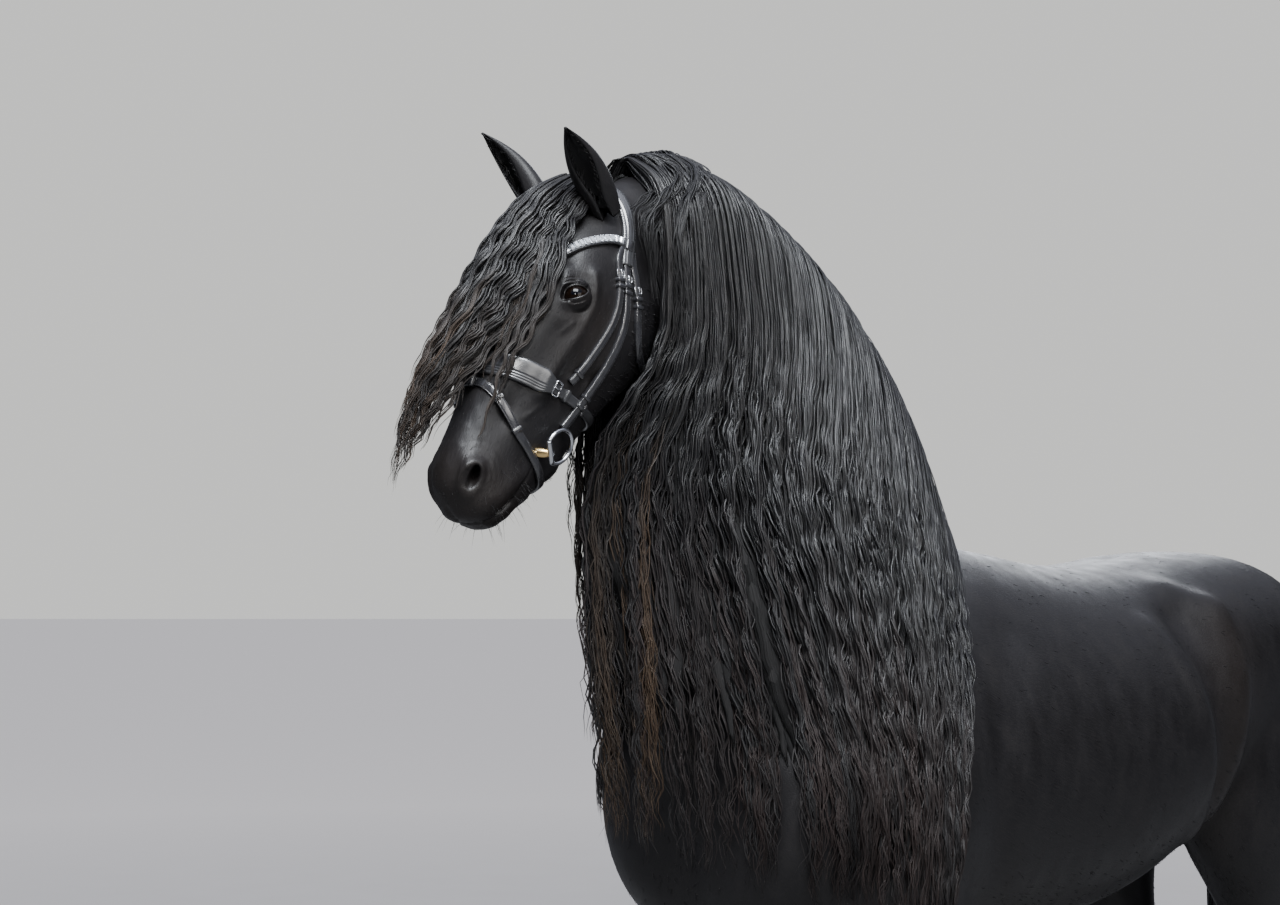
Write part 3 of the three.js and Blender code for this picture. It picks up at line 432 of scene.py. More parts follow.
    # legs: knee and hock, tendons, fetlock
    for key, (rows, sd) in LEGS.items():
        fore = key.startswith("fore")
        sh = SHIFT[key]
        near = (np.sign(V[:, 0]) == sd) & (z < 1000)
        m = near.astype(float)
        if fore:
            d += m * ridge(B, [(160, 312 + sh, 530), (160, 312 + sh, 470)], 30, 4)
            d += m * ridge(B, [(160, 205 + sh, 520), (160, 208 + sh, 490)], 16, 7)      # back of the knee
            d -= m * ridge(B, [(185, 240 + sh, 440), (185, 240 + sh, 240)], 11, 5)       # tendon groove
            d -= m * ridge(B, [(133, 240 + sh, 440), (133, 240 + sh, 240)], 11, 5)
            d -= m * ridge(B, [(215, 262 + sh, 900), (205, 255 + sh, 640)], 16, 5)
        else:
            d += m * ridge(B, [(150, -1165 + sh, 640), (150, -1168 + sh, 600)], 20, 9)   # point of the hock
            d -= m * ridge(B, [(182, -1100 + sh, 680), (176, -1105 + sh, 740)], 17, 11)  # hollow above it
            d -= m * ridge(B, [(122, -1100 + sh, 680), (128, -1105 + sh, 740)], 17, 11)
            d -= m * ridge(B, [(176, -1105 + sh, 460), (176, -1105 + sh, 260)], 11, 5)
            d -= m * ridge(B, [(120, -1105 + sh, 460), (120, -1105 + sh, 260)], 11, 5)
    V = V + N * (d * body)[:, None]
    for _ in range(2):
        V = relax(V, 0.35 * body[:, None])
    N = put(V)

    # head relief, in head coordinates
    S, T, X = to_st(V)
    hz = smooth((-V[:, 1] - 700) / 60) * (V[:, 2] > 1500)
    A = np.abs(X)
    H = np.stack([S, T, A], 1)
    d = np.zeros(n)
    d += bump_at(S, T, A, (168, 66, 70), (26, 20, 24), -8)                # hollow above the eye
    d += ridge(H, [(188, 62, 80), (212, 56, 92), (240, 46, 94)], 12, 5)    # brow
    d += ridge(H, [(170, 20, 104), (215, 2, 110), (262, -2, 104), (330, 4, 88), (385, 6, 76)], 10, 6)  # cheek bone and facial crest
    d -= ridge(H, [(290, 34, 92), (360, 36, 78), (430, 38, 66)], 18, 3.5)
    d -= ridge(H, [(300, -22, 92), (385, -22, 72)], 17, 3)
    d += bump_at(S, T, A, (235, -85, 92), (72, 62, 40), 5)                 # cheek muscle
    d -= ridge(H, [(318, -40, 86), (300, -110, 80), (262, -160, 66)], 13, 4.5)
    d += ridge(H, [(120, -168, 60), (190, -188, 54), (268, -166, 44)], 18, 3)
    d -= ridge(H, [(96, -60, 92), (90, -120, 80), (90, -170, 60)], 20, 6)   # behind the jaw
    d -= bump_at(S, T, A, (440, 42, 60), (34, 20, 22), 6)                  # beside the nose bone
    d += ridge(H, [(300, 98, 30), (420, 92, 24), (500, 88, 20)], 14, 2)
    d -= bump_at(S, T, A, (478, -84, 30), (22, 24, 40), 7)                 # above the chin
    d += bump_at(S, T, A, (524, -86, 0), (26, 22, 34), 7)                  # chin
    d += bump_at(S, T, A, (458, -96, 22), (26, 24, 34), 8)                 # chin groove's back edge
    # veins over the cheek and face
    d += ridge(H, [(330, -30, 88), (352, -8, 84), (372, 20, 80), (400, 34, 72)], 3.6, 2.2)
    d += ridge(H, [(352, -8, 84), (392, -8, 74), (430, 10, 66)], 3.4, 2.0)
    d += ridge(H, [(262, 18, 100), (290, 30, 94), (330, 26, 86)], 3.2, 1.8)
    # nostril: a raised wing round a comma-shaped opening
    c0 = np.array([556, 46, 52.0])
    q = H - c0
    # in-plane axes of the side of the muzzle: a along the face, b across it
    a, b = q[:, 0], q[:, 1] * 0.8 - q[:, 2] * 0.6
    rim = np.sqrt(((a - 2) / 24) ** 2 + ((b + 1) / 17) ** 2)
    near = gauss((q[:, 2] * 0.8 + q[:, 1] * 0.6) ** 2 / 26 ** 2)
    d += near * (6.5 * gauss((rim - 1.05) ** 2 / 0.16) * smooth((b + 22) / 20))
    d += bump_at(S, T, A, (532, 62, 42), (20, 14, 18), 3.5)
    # upper lip, lower lip and the mouth line between them
    d += ridge(H, [(600, 12, 10), (586, 4, 40), (550, -18, 56), (510, -34, 58)], 17, 4.5)
    d += ridge(H, [(592, -36, 8), (578, -50, 28), (545, -66, 40)], 15, 4)
    d -= ridge(H, [(470, -34, 60), (462, -60, 58)], 9, 3)
    d -= ridge(H, [(604, 30, 0), (606, 8, 0)], 6, 2.5)                      # groove of the upper lip
    V = V + N * (d * hz)[:, None]
    V = relax(V, 0.3 * hz[:, None])
    N = put(V)
    S, T, X = to_st(V)
    A = np.abs(X)
    H = np.stack([S, T, A], 1)
    d = -ridge(H, MOUTH, 3.6, 8.5)
    d -= ridge(H, [(466, -50, 57), (452, -47, 60)], 4.0, 4)
    # folds round the nostril
    for k, r0 in enumerate((1.75, 2.2, 2.65)):
        q = H - c0
        rim = np.sqrt(((q[:, 0] - 2) / 24) ** 2 + ((q[:, 1] * 0.8 - q[:, 2] * 0.6 + 1) / 17) ** 2)
        d -= gauss(((rim - r0) / 0.13) ** 2) * 0.45 * smooth((530 - S + 30) / 40) * gauss(((q[:, 2] * 0.8 + q[:, 1] * 0.6) / 30) ** 2)
    V = V + N * (d * hz)[:, None]
    # the nostril's opening goes in along the nose
    q = H - c0
    a, b = q[:, 0], q[:, 1] * 0.8 - q[:, 2] * 0.6
    bend = b - 0.012 * (a + 4) ** 2 * 0.35 + 1.5
    hole = np.sqrt(((a + 1) / 19) ** 2 + (bend / 8.5) ** 2)
    depth = smooth((1.12 - hole) / 1.25) * (np.abs(q[:, 2] * 0.8 + q[:, 1] * 0.6) < 40) * (hz > 0.5)
    sg = np.sign(X)
    inward = posed_dir(np.stack([-0.62 * sg, 0 * S - 0.75, 0 * S - 0.30], 1))   # x, s, t parts
    V = V + inward * (depth * 44)[:, None]
    return me, V, E, n, relax, put


def posed_dir(d):
    """A direction given as (x, s, t) parts of the head, in the horse's frame."""
    x, s, t = d[:, 0], d[:, 1], d[:, 2]
    f = s * HS + t * HC
    z = -s * HC + t * HS
    c, sn = math.cos(-NECK_TURN), math.sin(-NECK_TURN)
    return np.stack([x * c + f * sn, x * sn - f * c, z], 1)


# ---------------------------------------------------------------------- eyes
EYE_C = {1: on_head(EYE_AT["x"], EYE_AT["s"], EYE_AT["t"]), -1: on_head(-EYE_AT["x"], EYE_AT["s"], EYE_AT["t"])}


def eye_frame(side):
    """Axis out of the eye, the line between its corners (front corner +), and up (towards the brow)."""
    ax = unit(posed_dir(np.array([[0.80 * side, 0.02, 0.60]]))[0])
    along = posed_dir(np.array([[-0.55 * side, 0.62, 0.56]]))[0]
    along = unit(along - ax * (along @ ax))
    up = np.cross(along, ax)
    if up @ posed_dir(np.array([[0.5 * side, -0.3, 1.0]]))[0] < 0:
        up = -up
    return ax, along, up


def lid_edge(theta):
    """The eye opening as (along, up) in mm for angles 0..2pi; 0 is the front corner."""
    c, s = np.cos(theta), np.sin(theta)
    a = 20.8 * np.sign(c) * np.abs(c) ** 0.92
    up = np.where(s > 0, 13.2 * np.abs(s) ** 1.05, -10.2 * np.abs(s) ** 1.15)
    # the highest point is nearer the front corner; that corner drops into a tear duct
    up = up * (1 + 0.10 * c) - 2.6 * smooth((a - 13) / 8) + 1.2 * smooth((-a - 12) / 9)
    return a, up


def edge_radius(a, b):
    """Radius of the opening in the direction of each (a, b)."""
    th = np.linspace(-np.pi, np.pi, 721)
    ea, eb = lid_edge(th)
    k = np.arctan2(eb, ea)
    order = np.argsort(k)
    return np.interp(np.arctan2(b, a), k[order], np.hypot(ea, eb)[order], period=2 * np.pi)


def open_eyes(V):
    """Shapes the skin round each eyeball: lids that rest on it, sunk inside the opening."""
    for side in (1, -1):
        ax, al, up = eye_frame(side)
        q = V - EYE_C[side]
        h, a, b = q @ ax, q @ al, q @ up
        r = np.hypot(a, b)
        near = (r < 52) & (h > -16) & (h < 48)
        er = edge_radius(a, b)
        upper = smooth((b + 2) / 6)
        Rb = EYE_R + 2.6 + 2.2 * smooth((r - er) / 9) * (0.4 + 0.6 * upper)
        ball = np.where(r < Rb, np.sqrt(np.maximum(Rb ** 2 - r ** 2, 0)), 0.0) - 10 * smooth((r - Rb + 4) / 9)
        k = 4.5
        m = np.maximum(ball, h)
        soft = m + k * np.log(np.exp((ball - m) / k) + np.exp((h - m) / k)) - k * 0.30
        w = smooth((46 - r) / 18)
        newh = h * (1 - w) + soft * w
        newh = np.where(r < er + 7, newh * smooth((r - er) / 7) + (np.sqrt(np.maximum(Rb ** 2 - np.minimum(r, Rb - .5) ** 2, 0))) * (1 - smooth((r - er) / 7)), newh)
        mid = smooth((19 - np.abs(a - 1)) / 14)
        newh -= 2.6 * gauss(((r - er - 7.6) / 1.7) ** 2) * upper * mid
        newh += 1.2 * gauss(((r - er - 4.0) / 2.4) ** 2) * upper * mid
        newh -= 1.5 * gauss(((r - er - 12.8) / 1.6) ** 2) * upper * mid
        newh -= 1.3 * gauss(((r - er - 6.0) / 1.5) ** 2) * (1 - upper) * mid
        newh -= 1.0 * gauss(((r - er - 11.5) / 1.8) ** 2) * (1 - upper) * mid
        newh -= 0.7 * gauss(((r - er - 17.5) / 1.8) ** 2) * (1 - upper) * mid
        inside = smooth((er - r) / 1.6)
        newh = newh * (1 - inside) + (np.sqrt(np.maximum(EYE_R ** 2 - np.minimum(r, EYE_R) ** 2, 0)) - 7) * inside
        V[near] += (newh - h)[near, None] * ax
    return V


def skin_attributes(me, V):
    """Where each patch of coat lies: head, neck, leg weights, used to turn the lie of the coat."""
    n = len(V)
    f, z = -V[:, 1], V[:, 2]
    S, T, X = to_st(V)
    head = smooth((f - 690) / 60) * (z > 1480)
    neck = smooth((z - 1300 - 0.35 * (300 - f)) / 160) * smooth((f - 20) / 160) * (1 - head)
    leg = smooth((900 - z) / 140)
    muzzle = head * smooth((S - 500) / 60)
    col = me.color_attributes.new("zone", "FLOAT_COLOR", "POINT")
    arr = np.stack([head, neck, leg, muzzle], 1).astype(np.float32)
    col.data.foreach_set("color", arr.ravel())
    # dark, bare or damp places: round the eyes, in the nostrils, on the lips
    bare = np.zeros(n)
    for side in (1, -1):
        r = np.linalg.norm(V - EYE_C[side], axis=1)
        bare = np.maximum(bare, smooth((33 - r) / 9))
    H = np.stack([S, T, np.abs(X)], 1)
    bare = np.maximum(bare, head * ridge(H, [(556, 44, 52), (560, 46, 50)], 20, 1.0))
    bare = np.maximum(bare, head * ridge(H, [(606, -6, 0), (596, -14, 26), (560, -40, 46), (500, -52, 53)], 9, 0.9))
    # thin tan hair: flank, muzzle and behind the elbow; on the cheek, a painted brownish sheen
    tan_hair_and_sheen = np.zeros(n)
    B = np.stack([np.abs(V[:, 0]), f, z], 1)
    tan_hair_and_sheen += ridge(B, [(300, -640, 1420), (310, -650, 1200), (200, -640, 1000)], 90, 0.8)
    tan_hair_and_sheen += head * smooth((S - 470) / 100) * 0.7
    tan_hair_and_sheen += ridge(B, [(200, 40, 930), (120, -300, 880)], 90, 0.5)
    # painted brownish sheen over the cheek
    tan_hair_and_sheen += 0.6 * head * ridge(np.stack([S, T, np.abs(X)], 1), [(240, -10, 105), (300, -40, 95)], 50, 1)
    col = me.color_attributes.new("bare", "FLOAT_COLOR", "POINT")
    arr = np.stack([np.clip(bare, 0, 1), np.clip(tan_hair_and_sheen, 0, 1), np.zeros(n), np.ones(n)], 1).astype(np.float32)
    col.data.foreach_set("color", arr.ravel())


def lid_margins(side):
    """The lids' wet rims as a smooth closed band on the eyeball."""
    c = EYE_C[side]
    ax, al, up = eye_frame(side)
    th = np.linspace(0, 2 * np.pi, 72, endpoint=False)
    a, b = lid_edge(th)
    r = np.hypot(a, b)
    R = EYE_R + 1.2
    h = np.sqrt(np.maximum(R ** 2 - r ** 2, 4))
    P = c + a[:, None] * al + b[:, None] * up + h[:, None] * ax
    tan = unit(np.roll(P, -1, 0) - np.roll(P, 1, 0))
    n = unit(P - c)
    bi = np.cross(tan, n)
    k = np.linspace(0, 2 * np.pi, 10, endpoint=False)
    thick = 1.9
    wide = np.where(b > 0, 2.3, 1.9)[:, None, None]
    ring = P[:, None] + bi[:, None] * (np.cos(k)[None, :, None] * wide) + n[:, None] * (np.sin(k)[None, :, None] * thick)
    nr, ns = ring.shape[:2]
    i, j = np.meshgrid(np.arange(nr), np.arange(ns), indexing="ij")
    Q = np.stack([i * ns + j, i * ns + (j + 1) % ns, ((i + 1) % nr) * ns + (j + 1) % ns, ((i + 1) % nr) * ns + j], -1).reshape(-1, 4)
    return ring.reshape(-1, 3), Q, np.zeros((0, 3), int)


def eyeball(side):
    """Eyeball with a raised cornea; its axis is the eye's axis."""
    c = EYE_C[side]
    ax, al, up = eye_frame(side)
    nr, ns = 64, 96
    th = np.linspace(0.012, math.pi - 0.012, nr)
    ph = np.linspace(0, 2 * np.pi, ns, endpoint=False)
    th2, ph2 = np.meshgrid(th, ph, indexing="ij")
    R = EYE_R - 0.4 + 1.3 * gauss((th2 / 0.62) ** 4)
    P = c + R[..., None] * (np.cos(th2)[..., None] * ax + (np.sin(th2) * np.cos(ph2))[..., None] * al + (np.sin(th2) * np.sin(ph2))[..., None] * up)
    return tube_parts(P), (th2, ph2)


# ---------------------------------------------------------------------- ears
EAR_LEN, EAR_ROOT = 150, dict(x=74, s=44, t=44)
EAR_UP = {1: (0.25, -0.72, 0.65), -1: (0.50, -0.40, 0.85)}
EAR_FRONT = {1: (0.62, -0.7, -0.3), -1: (0.05, -0.95, -0.3)}
EAR_RAISED = {1: 4, -1: 24}
EAR_W = np.array([[26, 22], [32, 25], [33, 23], [29, 18], [19, 11], [4, 3]], float)


def ear_axes(side):
    u = EAR_UP[side]
    up = unit(np.array([side * u[0], u[1], u[2]]))
    front = np.array([side * EAR_FRONT[side][0], EAR_FRONT[side][1], EAR_FRONT[side][2]])
    front = unit(front - up * (front @ up))
    return up, front, np.cross(up, front)


def ear_points(side, k, phi, shrink=0.0):
    """A point of the ear's outer wall: k 0 root, 1 tip; phi 0 is the open front."""
    root = np.array([side * EAR_ROOT["x"], -(POLL_F + EAR_ROOT["s"] * HS + EAR_ROOT["t"] * HC),
                     POLL_Z - EAR_ROOT["s"] * HC + EAR_ROOT["t"] * HS])
    up, front, across = ear_axes(side)
    w, d = np.moveaxis(cr(EAR_W, k * 5), -1, 0)
    w, d = np.maximum(w - shrink, 0.8), np.maximum(d - shrink, 0.8)
    h = -28 + EAR_RAISED[side] + (EAR_LEN + 28) * k
    lean = 10 * np.sin(k * np.pi)
    a, b = np.sin(phi) * w, np.cos(phi) * d
    return root + h[..., None] * up + a[..., None] * across + (b - lean)[..., None] * front


def ear_parts(side):
    """A cupped ear: outer wall from edge to edge round the back, closed at its edges onto an inner wall."""
    nr, na = 48, 30
    k = np.linspace(0, 0.995, nr)
    half = cr(np.array([[2.2], [2.35], [2.1], [1.85], [1.7], [1.6]]), k * 5)[:, 0] * 0.5 * math.pi / 1.57
    rows = []
    for kk, hw in zip(k, half):
        open_ = math.pi - min(hw + 0.55, 2.9) * 1.0
        ph = np.linspace(open_, 2 * math.pi - open_, na)           # round the back
        K = np.full(na, kk)
        out = ear_points(side, K, ph, 2.6)
        thick = 4.5 * (1 - 0.5 * kk) * np.sin(np.linspace(0.12, math.pi - 0.12, na)) + 1.5
        centre = ear_points(side, K, ph * 0 + 0.0, 2.6) * 0.0 + out.mean(0)
        inn = ear_points(side, K, ph, 0)[::-1]
        up, front, across = ear_axes(side)
        n = out - centre
        n -= up * (n @ up)[:, None]
        n = unit(n)
        inn = (out - n * thick[:, None])[::-1]
        rows.append(np.concatenate([out, inn]))
    P = posed(np.array(rows))
    return tube_parts(P)


# -------------------------------------------------------------------- hooves
def hoof_parts(key):
    rows, side = LEGS[key]
    ft, zt, fb, zb, w, xc = rows[-2][[0, 1, 2, 3, 4, 8]]
    cf = (ft + fb) / 2
    cz = (zt + zb) / 2
    nr, ns = 46, 72
    v = np.linspace(0, 1, nr)[:, None]
    ph = np.linspace(0, 2 * np.pi, ns, endpoint=False)[None]
    c, s = np.cos(ph), np.sin(ph)
    tf, tz, tx = cf + (ft - fb) / 2 * 1.04 * c, cz + (zt - zb) / 2 * c - 2, xc + s * (w + 3)
    toe = np.where(c > 0, 84, 66)
    bf, bz, bx = cf + 22 + toe * c, 0 * c, xc + s * (w + 13)
    # growth rings, a coronet band and a slightly worn lower edge; flattened heel
    ring = 0.45 * np.sin(v * 60 + 0.6 * np.sin(3 * ph)) * smooth(v / .12) * smooth((1 - v) / .1) + 0.25 * np.sin(v * 131 + 2)
    band = 1.6 * gauss(((v - 0.06) / 0.06) ** 2)
    edge = -2.0 * smooth((v - 0.93) / 0.07)
    heel = -4.5 * gauss(((ph - math.pi) / 0.22) ** 2) * smooth((v - 0.1) / 0.4)
    off = -1.6 + ring + band + edge + heel
    x = tx + (bx - tx) * v + s * off
    f = tf + (bf - tf) * v + c * off
    z = tz + (bz - tz) * v
    P = np.stack(np.broadcast_arrays(x, -f, z), -1)
    return tube_parts(P)


# ----------------------------------------------------------------- materials
def new_mat(name):
    m = bpy.data.materials.new(name)
    m.use_nodes = True
    nt = m.node_tree
    for nd in list(nt.nodes):
        nt.nodes.remove(nd)
    out = nt.nodes.new("ShaderNodeOutputMaterial")
    bs = nt.nodes.new("ShaderNodeBsdfPrincipled")
    nt.links.new(bs.outputs[0], out.inputs[0])
    return m, nt, bs


class NT:
    """Short names for building node graphs."""
    def __init__(self, nt):
        self.nt = nt

    def __call__(self, kind, **kw):
        nd = self.nt.nodes.new("ShaderNode" + kind)
        for k, v in kw.items():
            setattr(nd, k, v)
        return nd

    def link(self, a, b):
        self.nt.links.new(a, b)

    def attr(self, name):
        nd = self("Attribute")
        nd.attribute_name = name
        return nd

    def math(self, op, a, b=None, clamp=False):
        nd = self("Math", operation=op, use_clamp=clamp)
        for i, v in enumerate([a] if b is None else [a, b]):
            if isinstance(v, (int, float)):
                nd.inputs[i].default_value = v
            else:
                self.link(v, nd.inputs[i])
        return nd.outputs[0]

    def mix(self, fac, a, b):
        nd = self("Mix", data_type="RGBA")
        for sock, v in ((nd.inputs[0], fac), (nd.inputs[6], a), (nd.inputs[7], b)):
            if isinstance(v, (int, float)):
                sock.default_value = v
            elif isinstance(v, tuple):
                sock.default_value = (*v, 1)
            else:
                self.link(v, sock)
        return nd.outputs[2]

    def mixf(self, fac, a, b):
        nd = self("Mix", data_type="FLOAT")
        for sock, v in ((nd.inputs[0], fac), (nd.inputs[2], a), (nd.inputs[3], b)):
            if isinstance(v, (int, float)):
                sock.default_value = v
            else:
                self.link(v, sock)
        return nd.outputs[0]

    def noise(self, vec, scale, detail=3.0, rough=0.55):
        nd = self("TexNoise")
        nd.inputs["Scale"].default_value = scale
        nd.inputs["Detail"].default_value = detail
        nd.inputs["Roughness"].default_value = rough
        if vec is not None:
            self.link(vec, nd.inputs["Vector"])
        return nd.outputs["Fac"]

    def mapping(self, vec, rot=(0, 0, 0), scale=(1, 1, 1), loc=(0, 0, 0)):
        nd = self("Mapping")
        nd.inputs["Rotation"].default_value = rot
        nd.inputs["Scale"].default_value = scale
        nd.inputs["Location"].default_value = loc
        self.link(vec, nd.inputs["Vector"])
        return nd.outputs[0]

    def ramp(self, fac, stops):
        nd = self("ValToRGB")
        self.link(fac, nd.inputs[0])
        e = nd.color_ramp.elements
        while len(e) > 1:
            e.remove(e[-1])
        e[0].position, e[0].color = stops[0][0], (*stops[0][1], 1)
        for p, c in stops[1:]:
            k = e.new(p)
            k.color = (*c, 1)
        return nd.outputs[0]

    def bump(self, height, strength, distance, normal=None):
        nd = self("Bump")
        nd.inputs["Strength"].default_value = strength
        nd.inputs["Distance"].default_value = distance
        self.link(height, nd.inputs["Height"])
        if normal is not None:
            self.link(normal, nd.inputs["Normal"])
        return nd.outputs[0]


def rot_to(d):
    """Euler angles that turn object space so that direction d becomes the Z of a stretched noise."""
    q = Vector(d).normalized().rotation_difference(Vector((0, 0, 1)))
    return tuple(q.to_euler())


from mathutils import Vector, Matrix, Euler


def coat_material():
    m, nt, bs = new_mat("short_coat")
    g = NT(nt)
    tc = g("TexCoord")
    obj = tc.outputs["Object"]
    sep = g("SeparateColor")
    g.link(g.attr("zone").outputs["Color"], sep.inputs[0])
    head, neck, leg = sep.outputs[0], sep.outputs[1], sep.outputs[2]
    bare = g("SeparateColor")
    g.link(g.attr("bare").outputs["Color"], bare.inputs[0])

    def streaks(d, fine):
        v = g.mapping(obj, rot=rot_to(d))
        a = g.mapping(v, scale=(1, 1, 0.10))
        return g.noise(a, fine, 4.0, 0.6)
    body_s = streaks((0.0, 1.0, -0.42), 420)
    neck_s = streaks((0.0, 0.55, -1.0), 420)
    head_s = streaks((0.0, -0.42, -0.9), 520)
    leg_s = streaks((0.0, 0.05, -1.0), 480)
    st = g.mixf(neck, body_s, neck_s)
    st = g.mixf(leg, st, leg_s)
    st = g.mixf(head, st, head_s)
    # larger, soft changes in how the coat lies
    lie = g.noise(g.mapping(obj, rot=rot_to((0, 1, -0.42)), scale=(1, 1, 0.4)), 26, 3.0, 0.5)
    muscle = g.noise(obj, 7.0, 2.0, 0.5)
    base = g.ramp(lie, [(0.25, (0.0040, 0.0038, 0.0044)), (0.55, (0.0065, 0.0062, 0.0070)), (0.8, (0.0100, 0.0092, 0.0096))])
    # tan hair, and the painted brownish sheen on the cheek, from the bare attribute's second channel
    tan_hair_and_sheen = g.mix(g.math("MULTIPLY", bare.outputs[1], 0.75), base, (0.0115, 0.0080, 0.0060))
    tips = g.mix(g.math("MULTIPLY", g.math("POWER", st, 3.0), 0.9, clamp=True), tan_hair_and_sheen, (0.024, 0.021, 0.0205))
    col = g.mix(bare.outputs[0], tips, (0.0065, 0.0055, 0.0055))
    g.link(col, bs.inputs["Base Color"])
    r = g.math("ADD", g.math("MULTIPLY", lie, 0.30), 0.29)
    r = g.mixf(bare.outputs[0], r, 0.34)
    g.link(r, bs.inputs["Roughness"])
    h = g.math("ADD", g.math("MULTIPLY", st, 1.0), g.math("MULTIPLY", lie, 0.8))
    h2 = g.mixf(bare.outputs[0], h, g.noise(obj, 700, 3.0))
    n1 = g.bump(muscle, 0.20, 0.012)
    n2 = g.bump(h2, 0.55, 0.0009, n1)
    g.link(n2, bs.inputs["Normal"])
    bs.inputs["Specular IOR Level"].default_value = 0.27
    bs.inputs["Sheen Weight"].default_value = 0.006
    bs.inputs["Sheen Roughness"].default_value = 0.35
    bs.inputs["Sheen Tint"].default_value = (0.62, 0.68, 0.82, 1)
    return m


def hair_material(name, dark, mid, tip, tip_from, rough=0.36):
    """Long hair: the tint attribute holds (random, along, lock random, edge)."""
    m, nt, bs = new_mat(name)
    g = NT(nt)
    sep = g("SeparateColor")
    g.link(g.attr("tint").outputs["Color"], sep.inputs[0])
    rnd, along, lock = sep.outputs[0], sep.outputs[1], sep.outputs[2]
    uv = g("UVMap", uv_map="Strand").outputs[0]
    fine = g.noise(g.mapping(uv, scale=(1.0, 0.012, 1)), 0.75, 3.0, 0.7)
    fine2 = g.noise(g.mapping(uv, scale=(1.0, 0.005, 1)), 0.16, 2.0, 0.5)
    mid_s = g.noise(g.mapping(uv, scale=(1.0, 0.010, 1)), 0.42, 2.0, 0.6)
    # gap_shade: strands made darker and rougher where a slow noise is low, painted shade standing in for the shaded
    # gaps between locks
    gap_shade = g.math("MULTIPLY", g.math("SUBTRACT", mid_s, 0.34), 3.4, clamp=True)
    a = g.mix(rnd, dark, mid)
    a = g.mix(g.math("MULTIPLY", fine2, 0.8), a, dark)
    a = g.mix(gap_shade, (dark[0] * 0.45, dark[1] * 0.45, dark[2] * 0.45), a)
    t = g.math("MULTIPLY", g.math("SUBTRACT", along, tip_from), 1.0 / (1.0 - tip_from), clamp=True)
    t = g.math("MULTIPLY", t, g.math("ADD", g.math("MULTIPLY", lock, 1.0), 0.04), clamp=True)
    # strands grow darker down their length: painted shade over the lower part of the hair
    a = g.mix(g.math("MULTIPLY", g.math("SUBTRACT", along, 0.25), 1.1, clamp=True), a, dark)
    # the tips take the tip colour; the forelock's and the wisps' golden tip colour is partly the hair's own reddish
    # brown, partly a painted backlit glow
    b = g.mix(t, a, tip)
    b = g.mix(g.math("MULTIPLY", g.math("POWER", fine, 4.0), 0.9, clamp=True), b, (0.030, 0.027, 0.0265))
    g.link(b, bs.inputs["Base Color"])
    rg = g.math("ADD", g.math("MULTIPLY", fine, 0.24), rough - 0.13)
    rg = g.math("ADD", rg, g.math("MULTIPLY", g.math("SUBTRACT", along, 0.45), 0.5, clamp=True))
    g.link(g.math("SUBTRACT", g.math("ADD", rg, 0.16), g.math("MULTIPLY", gap_shade, 0.16)), bs.inputs["Roughness"])
    g.link(g.bump(fine, 0.7, 0.0016, g.bump(mid_s, 0.9, 0.0034)), bs.inputs["Normal"])
    bs.inputs["Specular IOR Level"].default_value = 0.50
    bs.inputs["Sheen Weight"].default_value = 0.010
    bs.inputs["Sheen Roughness"].default_value = 0.35
    bs.inputs["Sheen Tint"].default_value = (0.66, 0.71, 0.84, 1)
    return m


def leather_material():
    m, nt, bs = new_mat("polished_leather")
    g = NT(nt)
    obj = g("TexCoord").outputs["Object"]
    big = g.noise(obj, 60, 3.0)
    grain = g("TexVoronoi")
    grain.inputs["Scale"].default_value = 900
    g.link(obj, grain.inputs["Vector"])
    g.link(g.ramp(big, [(0.3, (0.010, 0.010, 0.0115)), (0.75, (0.024, 0.024, 0.027))]), bs.inputs["Base Color"])
    g.link(g.math("ADD", g.math("MULTIPLY", big, 0.18), 0.14), bs.inputs["Roughness"])
    n1 = g.bump(grain.outputs["Distance"], 0.22, 0.0004)
    g.link(g.bump(big, 0.25, 0.0012, n1), bs.inputs["Normal"])
    bs.inputs["Specular IOR Level"].default_value = 0.8
    bs.inputs["Coat Weight"].default_value = 0.9
    bs.inputs["Coat Roughness"].default_value = 0.18
    return m


def simple_material(name, color, rough, metal=0.0, spec=0.5, scale=300, vary=0.15, bump=0.1, dist=0.0004, coat=0.0, coat_rough=0.03):
    m, nt, bs = new_mat(name)
    g = NT(nt)
    obj = g("TexCoord").outputs["Object"]
    nz = g.noise(obj, scale, 3.0)
    lo = tuple(c * (1 - vary) for c in color)
    hi = tuple(min(1, c * (1 + vary)) for c in color)
    g.link(g.ramp(nz, [(0.3, lo), (0.7, hi)]), bs.inputs["Base Color"])
    g.link(g.math("ADD", g.math("MULTIPLY", nz, 0.12), rough - 0.06), bs.inputs["Roughness"])
    g.link(g.bump(nz, bump, dist), bs.inputs["Normal"])
    bs.inputs["Metallic"].default_value = metal
    bs.inputs["Specular IOR Level"].default_value = spec
    if coat:
        bs.inputs["Coat Weight"].default_value = coat
        bs.inputs["Coat Roughness"].default_value = coat_rough
    return m


